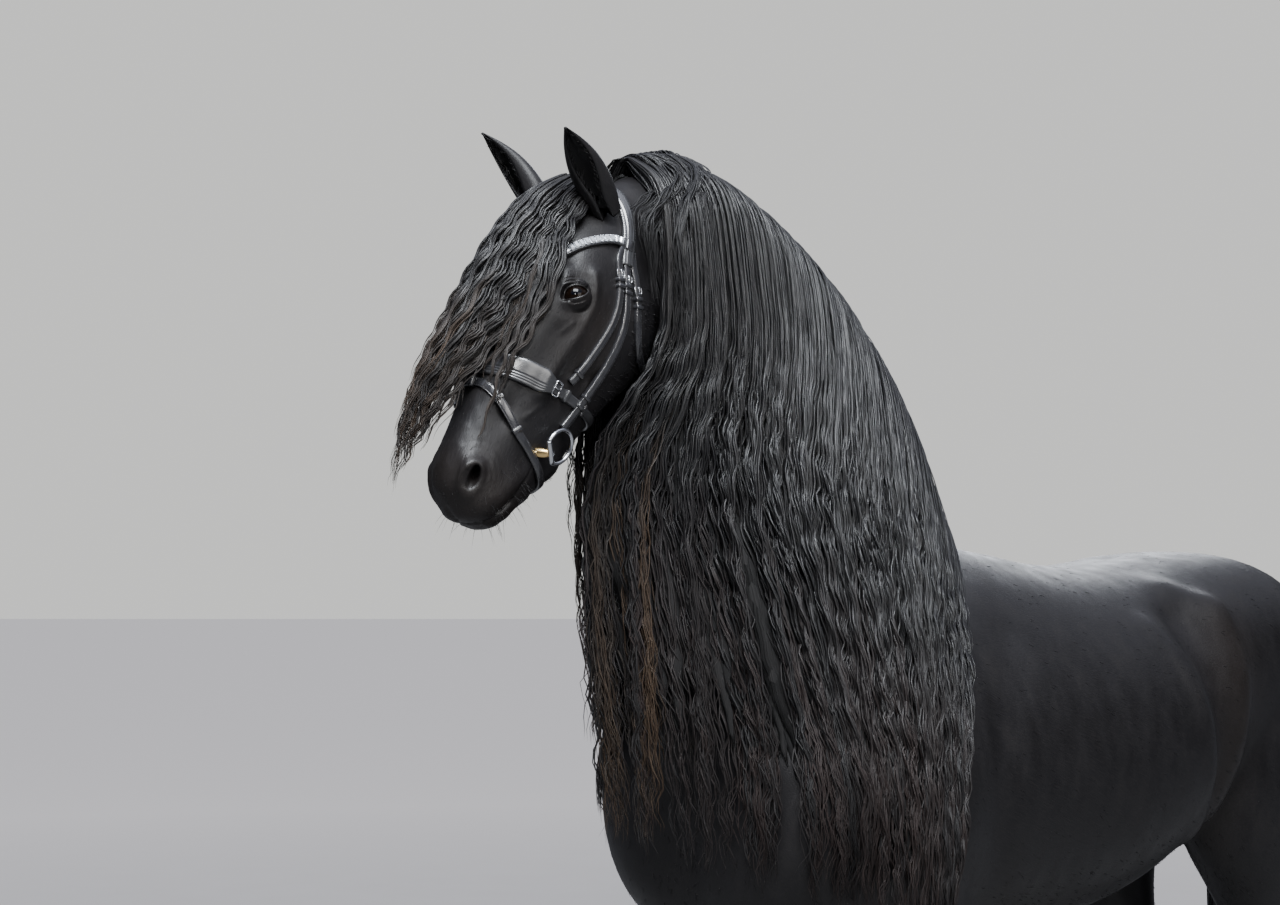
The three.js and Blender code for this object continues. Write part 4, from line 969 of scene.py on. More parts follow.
def hoof_material():
    m, nt, bs = new_mat("hoof_horn")
    g = NT(nt)
    obj = g("TexCoord").outputs["Object"]
    rings = g.noise(g.mapping(obj, scale=(3, 3, 60)), 6, 3.0)
    lines = g.noise(g.mapping(obj, scale=(260, 260, 8)), 2, 4.0)
    spots = g.noise(obj, 30, 3.0)
    c = g.ramp(rings, [(0.3, (0.020, 0.018, 0.017)), (0.55, (0.043, 0.038, 0.034)), (0.75, (0.080, 0.070, 0.060))])
    c = g.mix(g.math("MULTIPLY", lines, 0.5), c, (0.020, 0.018, 0.017))
    c = g.mix(g.math("MULTIPLY", g.math("POWER", spots, 4.0), 2.5, clamp=True), c, (0.16, 0.14, 0.12))
    g.link(c, bs.inputs["Base Color"])
    g.link(g.math("ADD", g.math("MULTIPLY", lines, 0.25), 0.33), bs.inputs["Roughness"])
    n = g.bump(rings, 0.5, 0.001)
    g.link(g.bump(lines, 0.5, 0.0005, n), bs.inputs["Normal"])
    return m


def eye_material():
    """Dark brown iris with a wide lying pupil, seen through a wet cornea."""
    m, nt, bs = new_mat("horse_eye")
    g = NT(nt)
    sep = g("SeparateColor")
    g.link(g.attr("eye").outputs["Color"], sep.inputs[0])
    rad, ang, pup = sep.outputs[0], sep.outputs[1], sep.outputs[2]
    vec = g("CombineXYZ")
    g.link(g.math("MULTIPLY", ang, 30), vec.inputs[0])
    g.link(g.math("MULTIPLY", rad, 2.0), vec.inputs[1])
    fib = g.noise(vec.outputs[0], 2.5, 4.0)
    iris = g.ramp(fib, [(0.3, (0.0022, 0.0013, 0.0009)), (0.6, (0.0055, 0.0029, 0.0017)), (0.8, (0.0110, 0.0056, 0.0030))])
    dark = g.math("MULTIPLY", g.math("SUBTRACT", rad, 0.62), 6.0, clamp=True)
    c = g.mix(dark, iris, (0.006, 0.004, 0.0035))
    rim = g.math("MULTIPLY", g.math("SUBTRACT", rad, 0.86), 9.0, clamp=True)
    c = g.mix(rim, c, (0.016, 0.012, 0.010))
    c = g.mix(g.math("MULTIPLY", g.math("SUBTRACT", 0.5, pup), 14.0, clamp=True), c, (0.0015, 0.0018, 0.0030))
    g.link(c, bs.inputs["Base Color"])
    bs.inputs["Roughness"].default_value = 0.04
    bs.inputs["Specular IOR Level"].default_value = 0.17
    return m


# ---------------------------------------------------------------------- hair
from mathutils.bvhtree import BVHTree


def dense(tab, nv, nw):
    """A fine grid through a table of stations x points."""
    v = np.linspace(0, tab.shape[0] - 1, nv)
    a = cr(tab, v)                                   # (nv, np, 3)
    a = np.moveaxis(a, 1, 0)                         # (np, nv, 3)
    w = np.linspace(0, tab.shape[1] - 1, nw)
    return np.moveaxis(cr(a, w), 0, 1)               # (nv, nw, 3)


def sample(G, v, w):
    """Bilinear look-up of a grid at v, w in 0..1."""
    nv, nw = G.shape[:2]
    a, b = np.clip(v, 0, 1) * (nv - 1), np.clip(w, 0, 1) * (nw - 1)
    i, j = np.minimum(a.astype(int), nv - 2), np.minimum(b.astype(int), nw - 2)
    s, t = (a - i)[..., None], (b - j)[..., None]
    return (G[i, j] * (1 - s) * (1 - t) + G[i + 1, j] * s * (1 - t) + G[i, j + 1] * (1 - s) * t + G[i + 1, j + 1] * s * t)


def strand_arrays(C, W, T, N, K):
    """Closed tapered strands: C centres, W and T half width and thickness, N outward side."""
    n, M = C.shape[:2]
    tan = unit(np.gradient(C, axis=1))
    acr = unit(np.cross(tan, N))
    nn = np.cross(acr, tan)
    ang = np.pi / 2 + np.arange(K) * 2 * np.pi / K
    R = (C[:, :-1, None] + acr[:, :-1, None] * (np.cos(ang)[None, None, :, None] * W[:, :-1, None, None])
         + nn[:, :-1, None] * (np.sin(ang)[None, None, :, None] * T[:, :-1, None, None]))
    per = (M - 1) * K + 1
    V = np.concatenate([R.reshape(n, -1, 3), C[:, -1:, :]], 1).reshape(-1, 3)
    i, j = np.meshgrid(np.arange(M - 2), np.arange(K), indexing="ij")
    j2 = (j + 1) % K
    q = np.stack([i * K + j, (i + 1) * K + j, (i + 1) * K + j2, i * K + j2], -1).reshape(-1, 4)
    j = np.arange(K)
    t = np.stack([(M - 2) * K + j, np.full(K, (M - 1) * K), (M - 2) * K + (j + 1) % K], -1)
    base = (np.arange(n) * per)[:, None, None]
    Q = (q[None] + base).reshape(-1, 4)
    Tt = (t[None] + base).reshape(-1, 3)
    cap = (np.arange(K)[None, None] + base).reshape(-1, K)
    along = np.concatenate([np.repeat(np.linspace(0, 1, M)[:-1], K), [1.0]])
    # the wide faces take the middle of the strip, the back face runs the other way
    around = np.concatenate([np.tile(0.5 + 0.5 * np.cos(ang), M - 1), [0.5]])
    return V, Q, Tt, cap, along, around, per


def hair_piece(name, C, W, T, N, mat, root_uv, rnd, lock, K=3, nodes=(), length=None):
    """One mesh object of many strands with its colour attribute and its two UV maps."""
    V, Q, Tt, cap, along, around, per = strand_arrays(C, W, T, N, K)
    n = len(C)
    faces = [Q, Tt, cap] if K not in (3, 4) else ([Q, np.concatenate([Tt, cap])] if K == 3 else [np.concatenate([Q, cap]), Tt])
    ob = mesh_from(name, V, faces)
    me = ob.data
    tint = np.stack([np.repeat(rnd, per), np.tile(along, n), np.repeat(lock, per), np.ones(n * per)], 1).astype(np.float32)
    me.color_attributes.new("tint", "FLOAT_COLOR", "POINT").data.foreach_set("color", tint.ravel())
    loops = np.empty(len(me.loops), np.int32)
    me.loops.foreach_get("vertex_index", loops)
    s, k = loops // per, loops % per
    uv = np.asarray(root_uv)[s] + 0.003 * np.stack([around[k], along[k]], 1)
    me.uv_layers.new(name="OFBake").data.foreach_set("uv", uv.astype(np.float32).ravel())
    ln = np.linalg.norm(np.diff(C, axis=1), axis=2).sum(1) if length is None else length
    wd = W.max(1) * 2
    su = np.stack([around[k] * wd[s] * 1.0 + rnd[s] * 997.0, along[k] * ln[s]], 1)
    me.uv_layers.new(name="Strand").data.foreach_set("uv", su.astype(np.float32).ravel())
    finish_piece(ob, mat, nodes)
    return ob


def waves(C, A, B, amp, lam, ph, rng, start=0.18, full=0.5, spread=0.35):
    """Crimps laid on the paths: sideways along A and, less, outwards along B."""
    n, M = C.shape[:2]
    seg = np.linalg.norm(np.diff(C, axis=1), axis=2)
    L = np.concatenate([np.zeros((n, 1)), np.cumsum(seg, 1)], 1)
    k = L / np.maximum(L[:, -1:], 1)
    env = smooth((k - start) / (full - start))
    ph2 = ph + spread * rng.normal(size=n)
    warp = 0.8 * np.sin(2 * np.pi * L / 310.0 + ph[:, None] * 2.0)
    a = 2 * np.pi * L / lam[:, None] + ph2[:, None] + warp
    slow = 0.75 + 0.25 * np.sin(2 * np.pi * L / 260.0 + ph[:, None] * 3.1)
    C = C + A * (amp[:, None] * env * slow * np.sin(a))[..., None]
    C = C + B * (0.55 * amp[:, None] * env * slow * np.cos(a + 0.4))[..., None]
    return C


def keep_off(C, tree, gap, skip):
    """Pushes strand points out of the skin; the first points stay rooted."""
    n, M = C.shape[:2]
    W = world(C)
    out = C.copy()
    picks = list(range(skip, M, 2))
    if picks[-1] != M - 1:
        picks.append(M - 1)
    for i in range(n):
        for j in picks:
            loc, nor, idx, dist = tree.find_nearest(W[i, j].tolist(), 0.055)
            if loc is None:
                continue
            d = (Vector(W[i, j]) - loc).dot(nor) * 1000
            g = gap[i] * min(1.0, (j - skip + 1) / 4)
            if d < g:
                v = np.array(nor[:]) * (g - d)
                out[i, j] += v
    # points between two tested ones move by their mean
    push = out - C
    for j in range(skip + 1, M - 1, 2):
        if j not in picks:
            push[:, j] = (push[:, j - 1] + push[:, j + 1]) / 2
    out = C + push
    # the push is eased along the strand
    d = out - C
    for _ in range(3):
        e = d.copy()
        e[:, 1:-1] = np.maximum(np.abs(d[:, 1:-1]), 0) * np.sign(d[:, 1:-1]) * 0.5 + 0.25 * (d[:, :-2] + d[:, 2:])
        d = np.where(np.abs(e) > np.abs(d), e, d)
    return C + d


MANE_NEAR = np.array([
    [[4, 742, 2248], [84, 738, 2194], [112, 738, 2085], [106, 744, 1900], [84, 748, 1650], [74, 736, 1320], [60, 704, 1050]],
    [[4, 560, 2250], [100, 555, 2182], [138, 556, 2015], [172, 560, 1760], [228, 556, 1500], [284, 538, 1210], [262, 510, 965]],
    [[4, 308, 2122], [100, 322, 2048], [162, 356, 1885], [224, 402, 1655], [292, 438, 1400], [332, 450, 1160], [318, 444, 930]],
    [[4, 122, 1928], [108, 150, 1862], [188, 205, 1738], [260, 272, 1555], [316, 332, 1350], [344, 368, 1120], [334, 380, 912]],
    [[4, -5, 1690], [96, 20, 1655], [180, 80, 1570], [254, 160, 1450], [314, 246, 1280], [336, 302, 1090], [328, 336, 940]]], float)
# the tuft behind the crown starts on the off side and falls over the crest
MANE_CROWN = np.concatenate([MANE_NEAR[:, :1] + np.array([-52.0, 6.0, -26.0]), MANE_NEAR[:, :1] + np.array([-18.0, 3.0, -1.0]), MANE_NEAR[:, :1] + np.array([26.0, 0.0, -3.0]),
                             MANE_NEAR[:, 1:5]], 1)
MANE_OFF = np.array([
    [[-4, 742, 2248], [-68, 740, 2192], [-106, 738, 2080], [-112, 744, 1900], [-112, 752, 1700], [-108, 752, 1480], [-100, 740, 1340]],
    [[-4, 600, 2240], [-86, 592, 2168], [-128, 592, 2015], [-152, 606, 1790], [-176, 632, 1540], [-190, 650, 1330], [-184, 655, 1180]],
    [[-4, 420, 2172], [-94, 418, 2092], [-144, 436, 1930], [-186, 474, 1700], [-234, 512, 1450], [-268, 545, 1240], [-262, 556, 1080]]], float)
FORELOCK = np.array([
    [-2, 66, 0, 46, 20, 50], [60, 104, -4, 74, 24, 70], [140, 122, -8, 84, 28, 90], [230, 128, -16, 84, 30, 90],
    [320, 132, -26, 76, 30, 80], [410, 138, -36, 60, 28, 66], [510, 134, -44, 40, 22, 40], [612, 124, -46, 10, 6, 8]], float)
TAIL = np.array([[a, b, c, d, w, .5, 1, 1, 0] for a, b, c, d, w in (
    (-1092, 1545, -1110, 1440, 42), (-1150, 1560, -1150, 1425, 52), (-1208, 1505, -1168, 1395, 60), (-1262, 1385, -1186, 1330, 76),
    (-1298, 1180, -1196, 1150, 104), (-1322, 900, -1196, 890, 132), (-1330, 600, -1190, 590, 142), (-1312, 340, -1192, 335, 122),
    (-1282, 190, -1206, 190, 76), (-1258, 120, -1232, 122, 20))], float)
FEATHER = [(430, 4, 14, 6), (330, 9, 40, 18), (230, 16, 54, 30), (130, 20, 50, 38), (60, 18, 50, 40), (18, 8, 42, 32)]


CLUMPS = 15.0


def swept(v, w, side):
    """How far the hair of the near side has swung forward, in mm: most at the front edge, none at the withers."""
    if side < 0:
        return 0.0 * v * w
    return (128.0 * np.exp(-((v / 0.20) ** 1.3)) + 52.0 * np.exp(-(((v - 0.32) / 0.26) ** 2))) * smooth((w - 0.44 + 0.36 * np.clip(v, 0, 0.5)) / 0.28)


def curtain(tab, side, inset, locks, per, M, seed, tree, reach=(0.78, 1.0), half_w=(2.6, 4.2), depth=(0.05, 0.75), wave=(3.2, 5.6), lift=4.0,
            vr=(0.0, 1.0), sway=(0.0, 0.0), start=0.18):
    """Strand paths of one side of the mane. Returns centres, outward sides, widths and bookkeeping."""
    rng = np.random.default_rng(seed)
    flat = tab.copy()
    G = dense(tab, 220, 260)
    G = posed(np.stack([G[..., 0], -G[..., 1], G[..., 2]], -1))
    dv = unit(np.gradient(G, axis=0))
    dw = unit(np.gradient(G, axis=1))
    nn = unit(np.cross(dv, dw))
    if (nn[110, 120] @ np.array([side, 0, 0])) < 0:
        nn = -nn
    n = locks * per
    # locks are spread evenly over the crest, in shuffled layers
    vl = (np.arange(locks) + rng.uniform(-0.45, 0.45, locks)) / (locks - 1)
    vl = vr[0] + (vr[1] - vr[0]) * np.clip(vl, 0.0, 1.0)
    order = (np.arange(locks) * 0.6180339) % 1.0
    dl = depth[0] + (depth[1] - depth[0]) * order
    endl = reach[0] + (reach[1] - reach[0]) * rng.random(locks) ** 0.7
    drift = rng.normal(0, 0.022, locks)
    L = np.repeat(np.arange(locks), per)
    # points: fewer in the straight top, more in the waves
    k = np.linspace(0, 1, M)
    w01 = np.where(k < 0.18, k / 0.18 * 0.30, 0.30 + (k - 0.18) / 0.82 * 0.70)
    ends = np.clip(endl[L] - 0.10 * rng.random(n) ** 2, 0.4, 1.0)
    w = w01[None] * ends[:, None]
    tight = 1 - 0.62 * smooth((w01 - 0.30) / 0.65)[None]
    ox = rng.uniform(-1, 1, n)
    oy = rng.uniform(-1, 1, n)
    gapv = max((vr[1] - vr[0]) / (locks - 1), 0.005)
    v = vl[L][:, None] + drift[L][:, None] * w ** 1.5 + ox[:, None] * gapv * 2.4 * tight
    over = np.minimum(v, 0.0) * 800.0 * smooth(w / 0.05)
    v = np.where(v < 0, -v * 0.25, v)
    v = np.where(v > 1, 2 - v, v)
    # the hair gathers into broad locks lower down, with darker gaps between them
    bw = smooth((w - 0.22) / 0.45)
    turn = 2 * np.pi * CLUMPS * v + 1.1 * np.sin(7.0 * w + 9.0 * v) + 0.8 * np.sin(23.0 * v)
    v = v - bw * 0.80 * np.sin(turn) / (2 * np.pi * CLUMPS)
    P = sample(G, v, w)
    A = unit(sample(dv, v, w))
    B = unit(sample(nn, v, w))
    ins = inset * np.sin(np.pi * np.clip(w, 0, 1) ** 0.8) + 3
    ripple = 15.0 * np.cos(turn) * bw - 4.0 * bw
    dep = np.clip(dl[L][:, None] + 0.10 * oy[:, None] * tight, 0.0, 1.0) * ins
    edge = smooth(v / 0.05) * smooth((1 - v) / 0.05)
    C = P - B * (dep + lift + (7.0 - ripple) * smooth(w / 0.2) * 0.8)[..., None]
    C = C + A * (np.maximum(over, -14.0) - swept(v, w, side))[..., None]
    # the root dips into the crest
    C[:, 0] -= B[:, 0] * 10
    amp = rng.uniform(wave[0], wave[1], locks)[L] * rng.uniform(0.8, 1.15, n)
    lam = rng.uniform(44, 66, locks)[L]
    cell = np.floor(CLUMPS * vl[L] * 2.0).astype(int)
    ph = np.sin(cell * 12.9898) * 43.0 + rng.normal(0, 0.75, locks)[L]
    lam = 80.0 + 11.0 * np.sin(cell * 4.7) + 0.4 * (lam - 55.0)
    C = waves(C, A, B, amp, lam, ph, rng, start)
    sw = rng.uniform(sway[0], sway[1], locks)[L] * rng.uniform(0.8, 1.2, n)
    C = C - A * (sw[:, None] * smooth((w01 - 0.30) / 0.7)[None] ** 1.2)[..., None]
    # towards the ends each strand goes its own way
    seg = np.cumsum(np.linalg.norm(np.diff(C, axis=1, prepend=C[:, :1]), axis=2), 1)
    own = (8.5 * rng.uniform(0.3, 1.0, n))[:, None] * smooth((w01 - 0.42) / 0.5)[None]
    lam2 = rng.uniform(120, 230, n)[:, None]
    C = C + A * (own * np.sin(2 * np.pi * seg / lam2 + rng.uniform(0, 6.28, n)[:, None]))[..., None]
    C = C - B * (0.6 * own * (1 + np.cos(2 * np.pi * seg / lam2 + rng.uniform(0, 6.28, n)[:, None])))[..., None]
    # strays swing a little free of their lock
    stray = (rng.random(n) < 0.10) * rng.normal(0, 9, n)
    C = C + A * (stray[:, None] * smooth((w01 - 0.25) / 0.7)[None])[..., None]
    size = rng.uniform(half_w[0], half_w[1], n)
    taper = np.clip((1 - k) / 0.30, 0, 1) ** 0.6 * (0.55 + 0.45 * smooth(k / 0.06))
    W = size[:, None] * taper[None]
    T = W * rng.uniform(0.42, 0.62, n)[:, None]
    if tree is not None:
        C = keep_off(C, tree, 5.0 + 11.0 * (1 - order[L]), 3)
    uv = np.stack([0.02 + 0.95 * vl[L], 0.02 + 0.95 * np.clip(dl[L] + 0.2 * rng.random(n), 0, 1)], 1)
    return C, W, T, B, uv, rng.random(n), rng.random(locks)[L], L


def ribbons(tab, side, inset, count, M, seed, tree, depth, reach=0.97, v0=0.0, w0=0.045):
    """A layer of wide flat locks under the strands, so that no gap shows daylight."""
    rng = np.random.default_rng(seed)
    G = dense(tab, 220, 260)
    G = posed(np.stack([G[..., 0], -G[..., 1], G[..., 2]], -1))
    dv = unit(np.gradient(G, axis=0))
    dw = unit(np.gradient(G, axis=1))
    nn = unit(np.cross(dv, dw))
    if (nn[110, 120] @ np.array([side, 0, 0])) < 0:
        nn = -nn
    k = np.linspace(0, 1, M)
    vl = v0 + (1 - v0) * (np.arange(count) + 0.5 + rng.uniform(-0.2, 0.2, count)) / count
    ends = reach - 0.12 * rng.random(count)
    w = w0 + k[None] * (ends[:, None] - w0)
    v = np.repeat(vl[:, None], M, 1) + 0.004 * np.sin(w * 30 + vl[:, None] * 50)
    P, A, B = sample(G, v, w), unit(sample(dv, v, w)), unit(sample(nn, v, w))
    ins = inset * np.sin(np.pi * np.clip(w, 0, 1) ** 0.8) + 3
    dd = depth + 0.10 * rng.uniform(-1, 1, count)
    C = P - B * (ins * dd[:, None] + 5)[..., None] - A * swept(v, w, side)[..., None]
    C[:, 0] -= B[:, 0] * 8
    C = waves(C, A, B, np.full(count, 3.4), rng.uniform(46, 66, count), rng.uniform(0, 6.28, count), rng)
    gap = np.linalg.norm(np.gradient(sample(G, np.repeat(np.linspace(0, 1, count)[:, None], M, 1), w), axis=0), axis=2)
    W = np.maximum(gap * 0.66, 4) * (0.5 + 0.5 * smooth(k / 0.08))[None] * np.clip((1 - k) / 0.16, 0, 1)[None] ** 0.6
    T = np.full_like(W, 3.2) * np.clip((1 - k) / 0.1, 0.1, 1)[None]
    if tree is not None:
        C = keep_off(C, tree, np.full(count, 2.5 if depth > 0.6 else 4.0), 3)
    uv = np.stack([0.02 + 0.95 * vl, np.full(count, 0.99 - 0.02)], 1)
    return C, W, T, B, uv, rng.random(count) * 0.4, rng.random(count) * 0.5


def split_pieces(base, arrs, per_piece, mat, K, nodes=()):
    C, W, T, B, uv, rnd, lock = arrs[:7]
    n = len(C)
    m = max(1, math.ceil(n / per_piece))
    cuts = np.linspace(0, n, m + 1).astype(int)
    obs = []
    for i in range(m):
        a, b = cuts[i], cuts[i + 1]
        obs.append(hair_piece("%s_%d" % (base, i + 1), C[a:b], W[a:b], T[a:b], B[a:b], mat, uv[a:b], rnd[a:b], lock[a:b], K,
                              nodes if i == 0 else ()))
    return obs


def forelock_paths(locks, per, M, seed, tree):
    rng = np.random.default_rng(seed)
    n = locks * per
    L = np.repeat(np.arange(locks), per)
    al = np.linspace(-0.97, 0.97, locks) + rng.uniform(-0.05, 0.05, locks)
    rl = 0.35 + 0.62 * ((np.arange(locks) * 0.6180339) % 1.0)
    endl = 0.66 + 0.34 * rng.random(locks) ** 0.8
    k = np.linspace(0, 1, M)
    ends = np.clip(endl[L] - 0.08 * rng.random(n) ** 2, 0.35, 1.0)
    u = k[None] * ends[:, None] * (len(FORELOCK) - 1)
    s, t, x, w, d, inner = np.moveaxis(cr(FORELOCK, u), -1, 0)
    # the locks part over the face: most sweep to the off side, a few hang on the near side
    tight = 1 - 0.75 * smooth((k - 0.1) / 0.8)[None]
    a = np.clip(al[L][:, None] + rng.uniform(-1, 1, n)[:, None] * 0.16 * tight, -1, 1)
    r = np.clip(rl[L] + 0.10 * rng.uniform(-1, 1, n), 0.25, 1)[:, None]
    c = np.sqrt(np.maximum(1 - a * a, 0.02))
    X = x + (w - 6) * a
    TT = t + (d - 6) * c * r * (1 - 0.25 * a * a) - 0.3 * np.abs(a) ** 3 * w - 26 * (1 - r) * smooth(k / 0.15)[None] * 0
    TT = TT - (1 - r) * 34
    C = on_head(X, s, TT)
    C[:, 0] = C[:, 0] * 0.5 + 0.5 * on_head(X[:, 0] * 0.8, s[:, 0] + 22, TT[:, 0] - 42)
    up = on_head(0, 0, 100) - on_head(0, 0, 0)
    B = unit(np.broadcast_to(up, C.shape) + (on_head(100, 0, 0) - on_head(0, 0, 0)) * a[..., None] * 0.9)
    A = unit(np.cross(np.gradient(C, axis=1), B))
    amp = rng.uniform(3.6, 6.4, locks)[L]
    lam = rng.uniform(46, 72, locks)[L]
    ph = rng.uniform(0, 6.28, locks)[L]
    C = waves(C, A, B, amp, lam, ph, rng, 0.10, 0.35, 0.3)
    stray = (rng.random(n) < 0.14) * rng.normal(0, 9, n)
    C = C + A * (stray[:, None] * smooth((k - 0.3) / 0.7)[None])[..., None]
    C = C - np.array([0, 0, 1.0]) * (np.abs(stray)[:, None] * 0.5 * smooth((k - 0.3) / 0.7)[None])[..., None]
    size = rng.uniform(1.9, 3.2, n)
    W = size[:, None] * (np.clip((1 - k) / 0.35, 0, 1) ** 0.65)[None]
    T = W * 0.5
    C = keep_off(C, tree, np.full(n, 4.0), 2)
    uv = np.stack([0.02 + 0.94 * (al[L] * 0.5 + 0.5), 0.02 + 0.94 * rl[L]], 1)
    return C, W, T, B, np.clip(uv, 0.01, 0.99), rng.random(n), rng.random(locks)[L]


def face_lock_paths(locks, per, M, seed):
    """Locks that lie on the forehead and hang down the front of the face, over the noseband."""
    rng = np.random.default_rng(seed)
    n = locks * per
    L = np.repeat(np.arange(locks), per)
    table = np.array([            # u, phi (degrees) at the off edge and the near edge, lift
        [1.0, -34, 24, 3], [1.8, -30, 31, 9], [2.6, -28, 34, 15], [3.4, -26, 40, 15], [4.3, -24, 49, 11],
        [5.2, -22, 50, 10], [6.2, -20, 47, 16], [7.2, -16, 50, 9], [8.2, -10, 54, 6], [9.0, 0, 54, 4]], float)
    al = (np.arange(locks) + rng.uniform(-0.4, 0.4, locks)) / (locks - 1)
    al = np.clip(al, 0, 1)
    end = 0.50 + 0.22 * rng.random(locks) + 0.26 * (al > 0.55) * rng.random(locks) ** 1.5 + 0.12 * (al < 0.4)
    layer = (np.arange(locks) * 0.6180339) % 1.0
    k = np.linspace(0, 1, M)
    e = np.clip(end[L] - 0.05 * rng.random(n), 0.35, 0.995)
    q = cr(table, k[None] * e[:, None] * (len(table) - 1))
    tight = 1 - 0.72 * smooth((k - 0.15) / 0.8)[None]
    a = al[L][:, None] + rng.uniform(-1, 1, n)[:, None] * 0.075 * tight
    a = a + 0.05 * np.sin(k * 5 + L[:, None] * 1.7) * k
    phi = np.radians(q[..., 1] * (1 - a) + q[..., 2] * a)
    P, N, du, dp = head_frame(q[..., 0], phi)
    lift = q[..., 3] * (0.35 + 0.75 * layer[L][:, None]) + 2.5 + 2.0 * rng.uniform(-1, 1, n)[:, None] * tight
    C = P + N * (lift * (0.15 + 0.85 * smooth(k / 0.1)))[..., None]
    C = waves(C, dp, N, rng.uniform(3.0, 5.2, locks)[L], rng.uniform(48, 72, locks)[L], rng.uniform(0, 6.28, locks)[L], rng, 0.12, 0.4, 0.3)
    C = keep_off(C, TREE, np.full(n, 3.0), 2)
    size = rng.uniform(1.6, 2.7, n)
    W = size[:, None] * (np.clip((1 - k) / 0.4, 0, 1) ** 0.65)[None]
    uv = np.stack([0.02 + 0.94 * al[L], 0.05 + 0.9 * layer[L]], 1)
    return C, W, W * 0.5, N, np.clip(uv, 0.01, 0.99), rng.random(n), rng.random(locks)[L] * 0.5


def tail_paths(locks, per, M, seed, tree):
    rng = np.random.default_rng(seed)
    n = locks * per
    L = np.repeat(np.arange(locks), per)
    ph0 = ((np.arange(locks) * 0.6180339) % 1.0) * 2 * np.pi
    rl = 0.30 + 0.66 * np.sqrt((np.arange(locks) * 0.7548777) % 1.0)
    rootu = 0.1 + 2.3 * rng.random(locks)             # hair leaves the dock along its length
    endu = 7.6 + 1.4 * rng.random(locks) ** 0.6
    k = np.linspace(0, 1, M)
    ue = np.clip(endu[L] - 0.5 * rng.random(n) ** 2, 6.5, 9.0)
    u = rootu[L][:, None] + (ue - rootu[L])[:, None] * k[None]
    tight = 1 - 0.6 * smooth((k - 0.2) / 0.8)[None]
    phi = ph0[L][:, None] + rng.uniform(-1, 1, n)[:, None] * 0.22 * tight
    r = np.clip(rl[L] + 0.10 * rng.uniform(-1, 1, n), 0.2, 0.98)[:, None] * (0.25 + 0.75 * smooth(k / 0.22)[None])
    surf = loft_at(TAIL, u, phi, -5)
    mid = (loft_at(TAIL, u, 0 * phi, 0) + loft_at(TAIL, u, 0 * phi + np.pi, 0)) / 2
    C = mid + (surf - mid) * r[..., None]
    B = unit(surf - mid)
    A = unit(np.cross(np.gradient(C, axis=1), B))
    C = waves(C, A, B, rng.uniform(2.5, 5.0, locks)[L], rng.uniform(60, 100, locks)[L], rng.uniform(0, 6.28, locks)[L], rng)
    size = rng.uniform(3.6, 5.4, n)
    W = size[:, None] * (np.clip((1 - k) / 0.3, 0, 1) ** 0.65)[None] * (0.5 + 0.5 * smooth(k / 0.1))[None]
    T = W * 0.5
    C = keep_off(C, tree, np.full(n, 4.0), 4)
    uv = np.stack([0.02 + 0.94 * (ph0[L] / (2 * np.pi)), 0.02 + 0.94 * (rootu[L] / 2.4)], 1)
    return C, W, T, B, np.clip(uv, 0.01, 0.99), rng.random(n), rng.random(locks)[L]


def leg_section(rows, z):
    """Front, back, half width and middle of a leg at the height z."""
    u = np.linspace(0, len(rows) - 1, 400)
    r = cr(rows, u)
    i = np.abs(r[:, 1] - z).argmin()
    j = np.abs(r[:, 3] - z).argmin()
    return r[i, 0], r[j, 2], r[i, 4], r[i, 8]


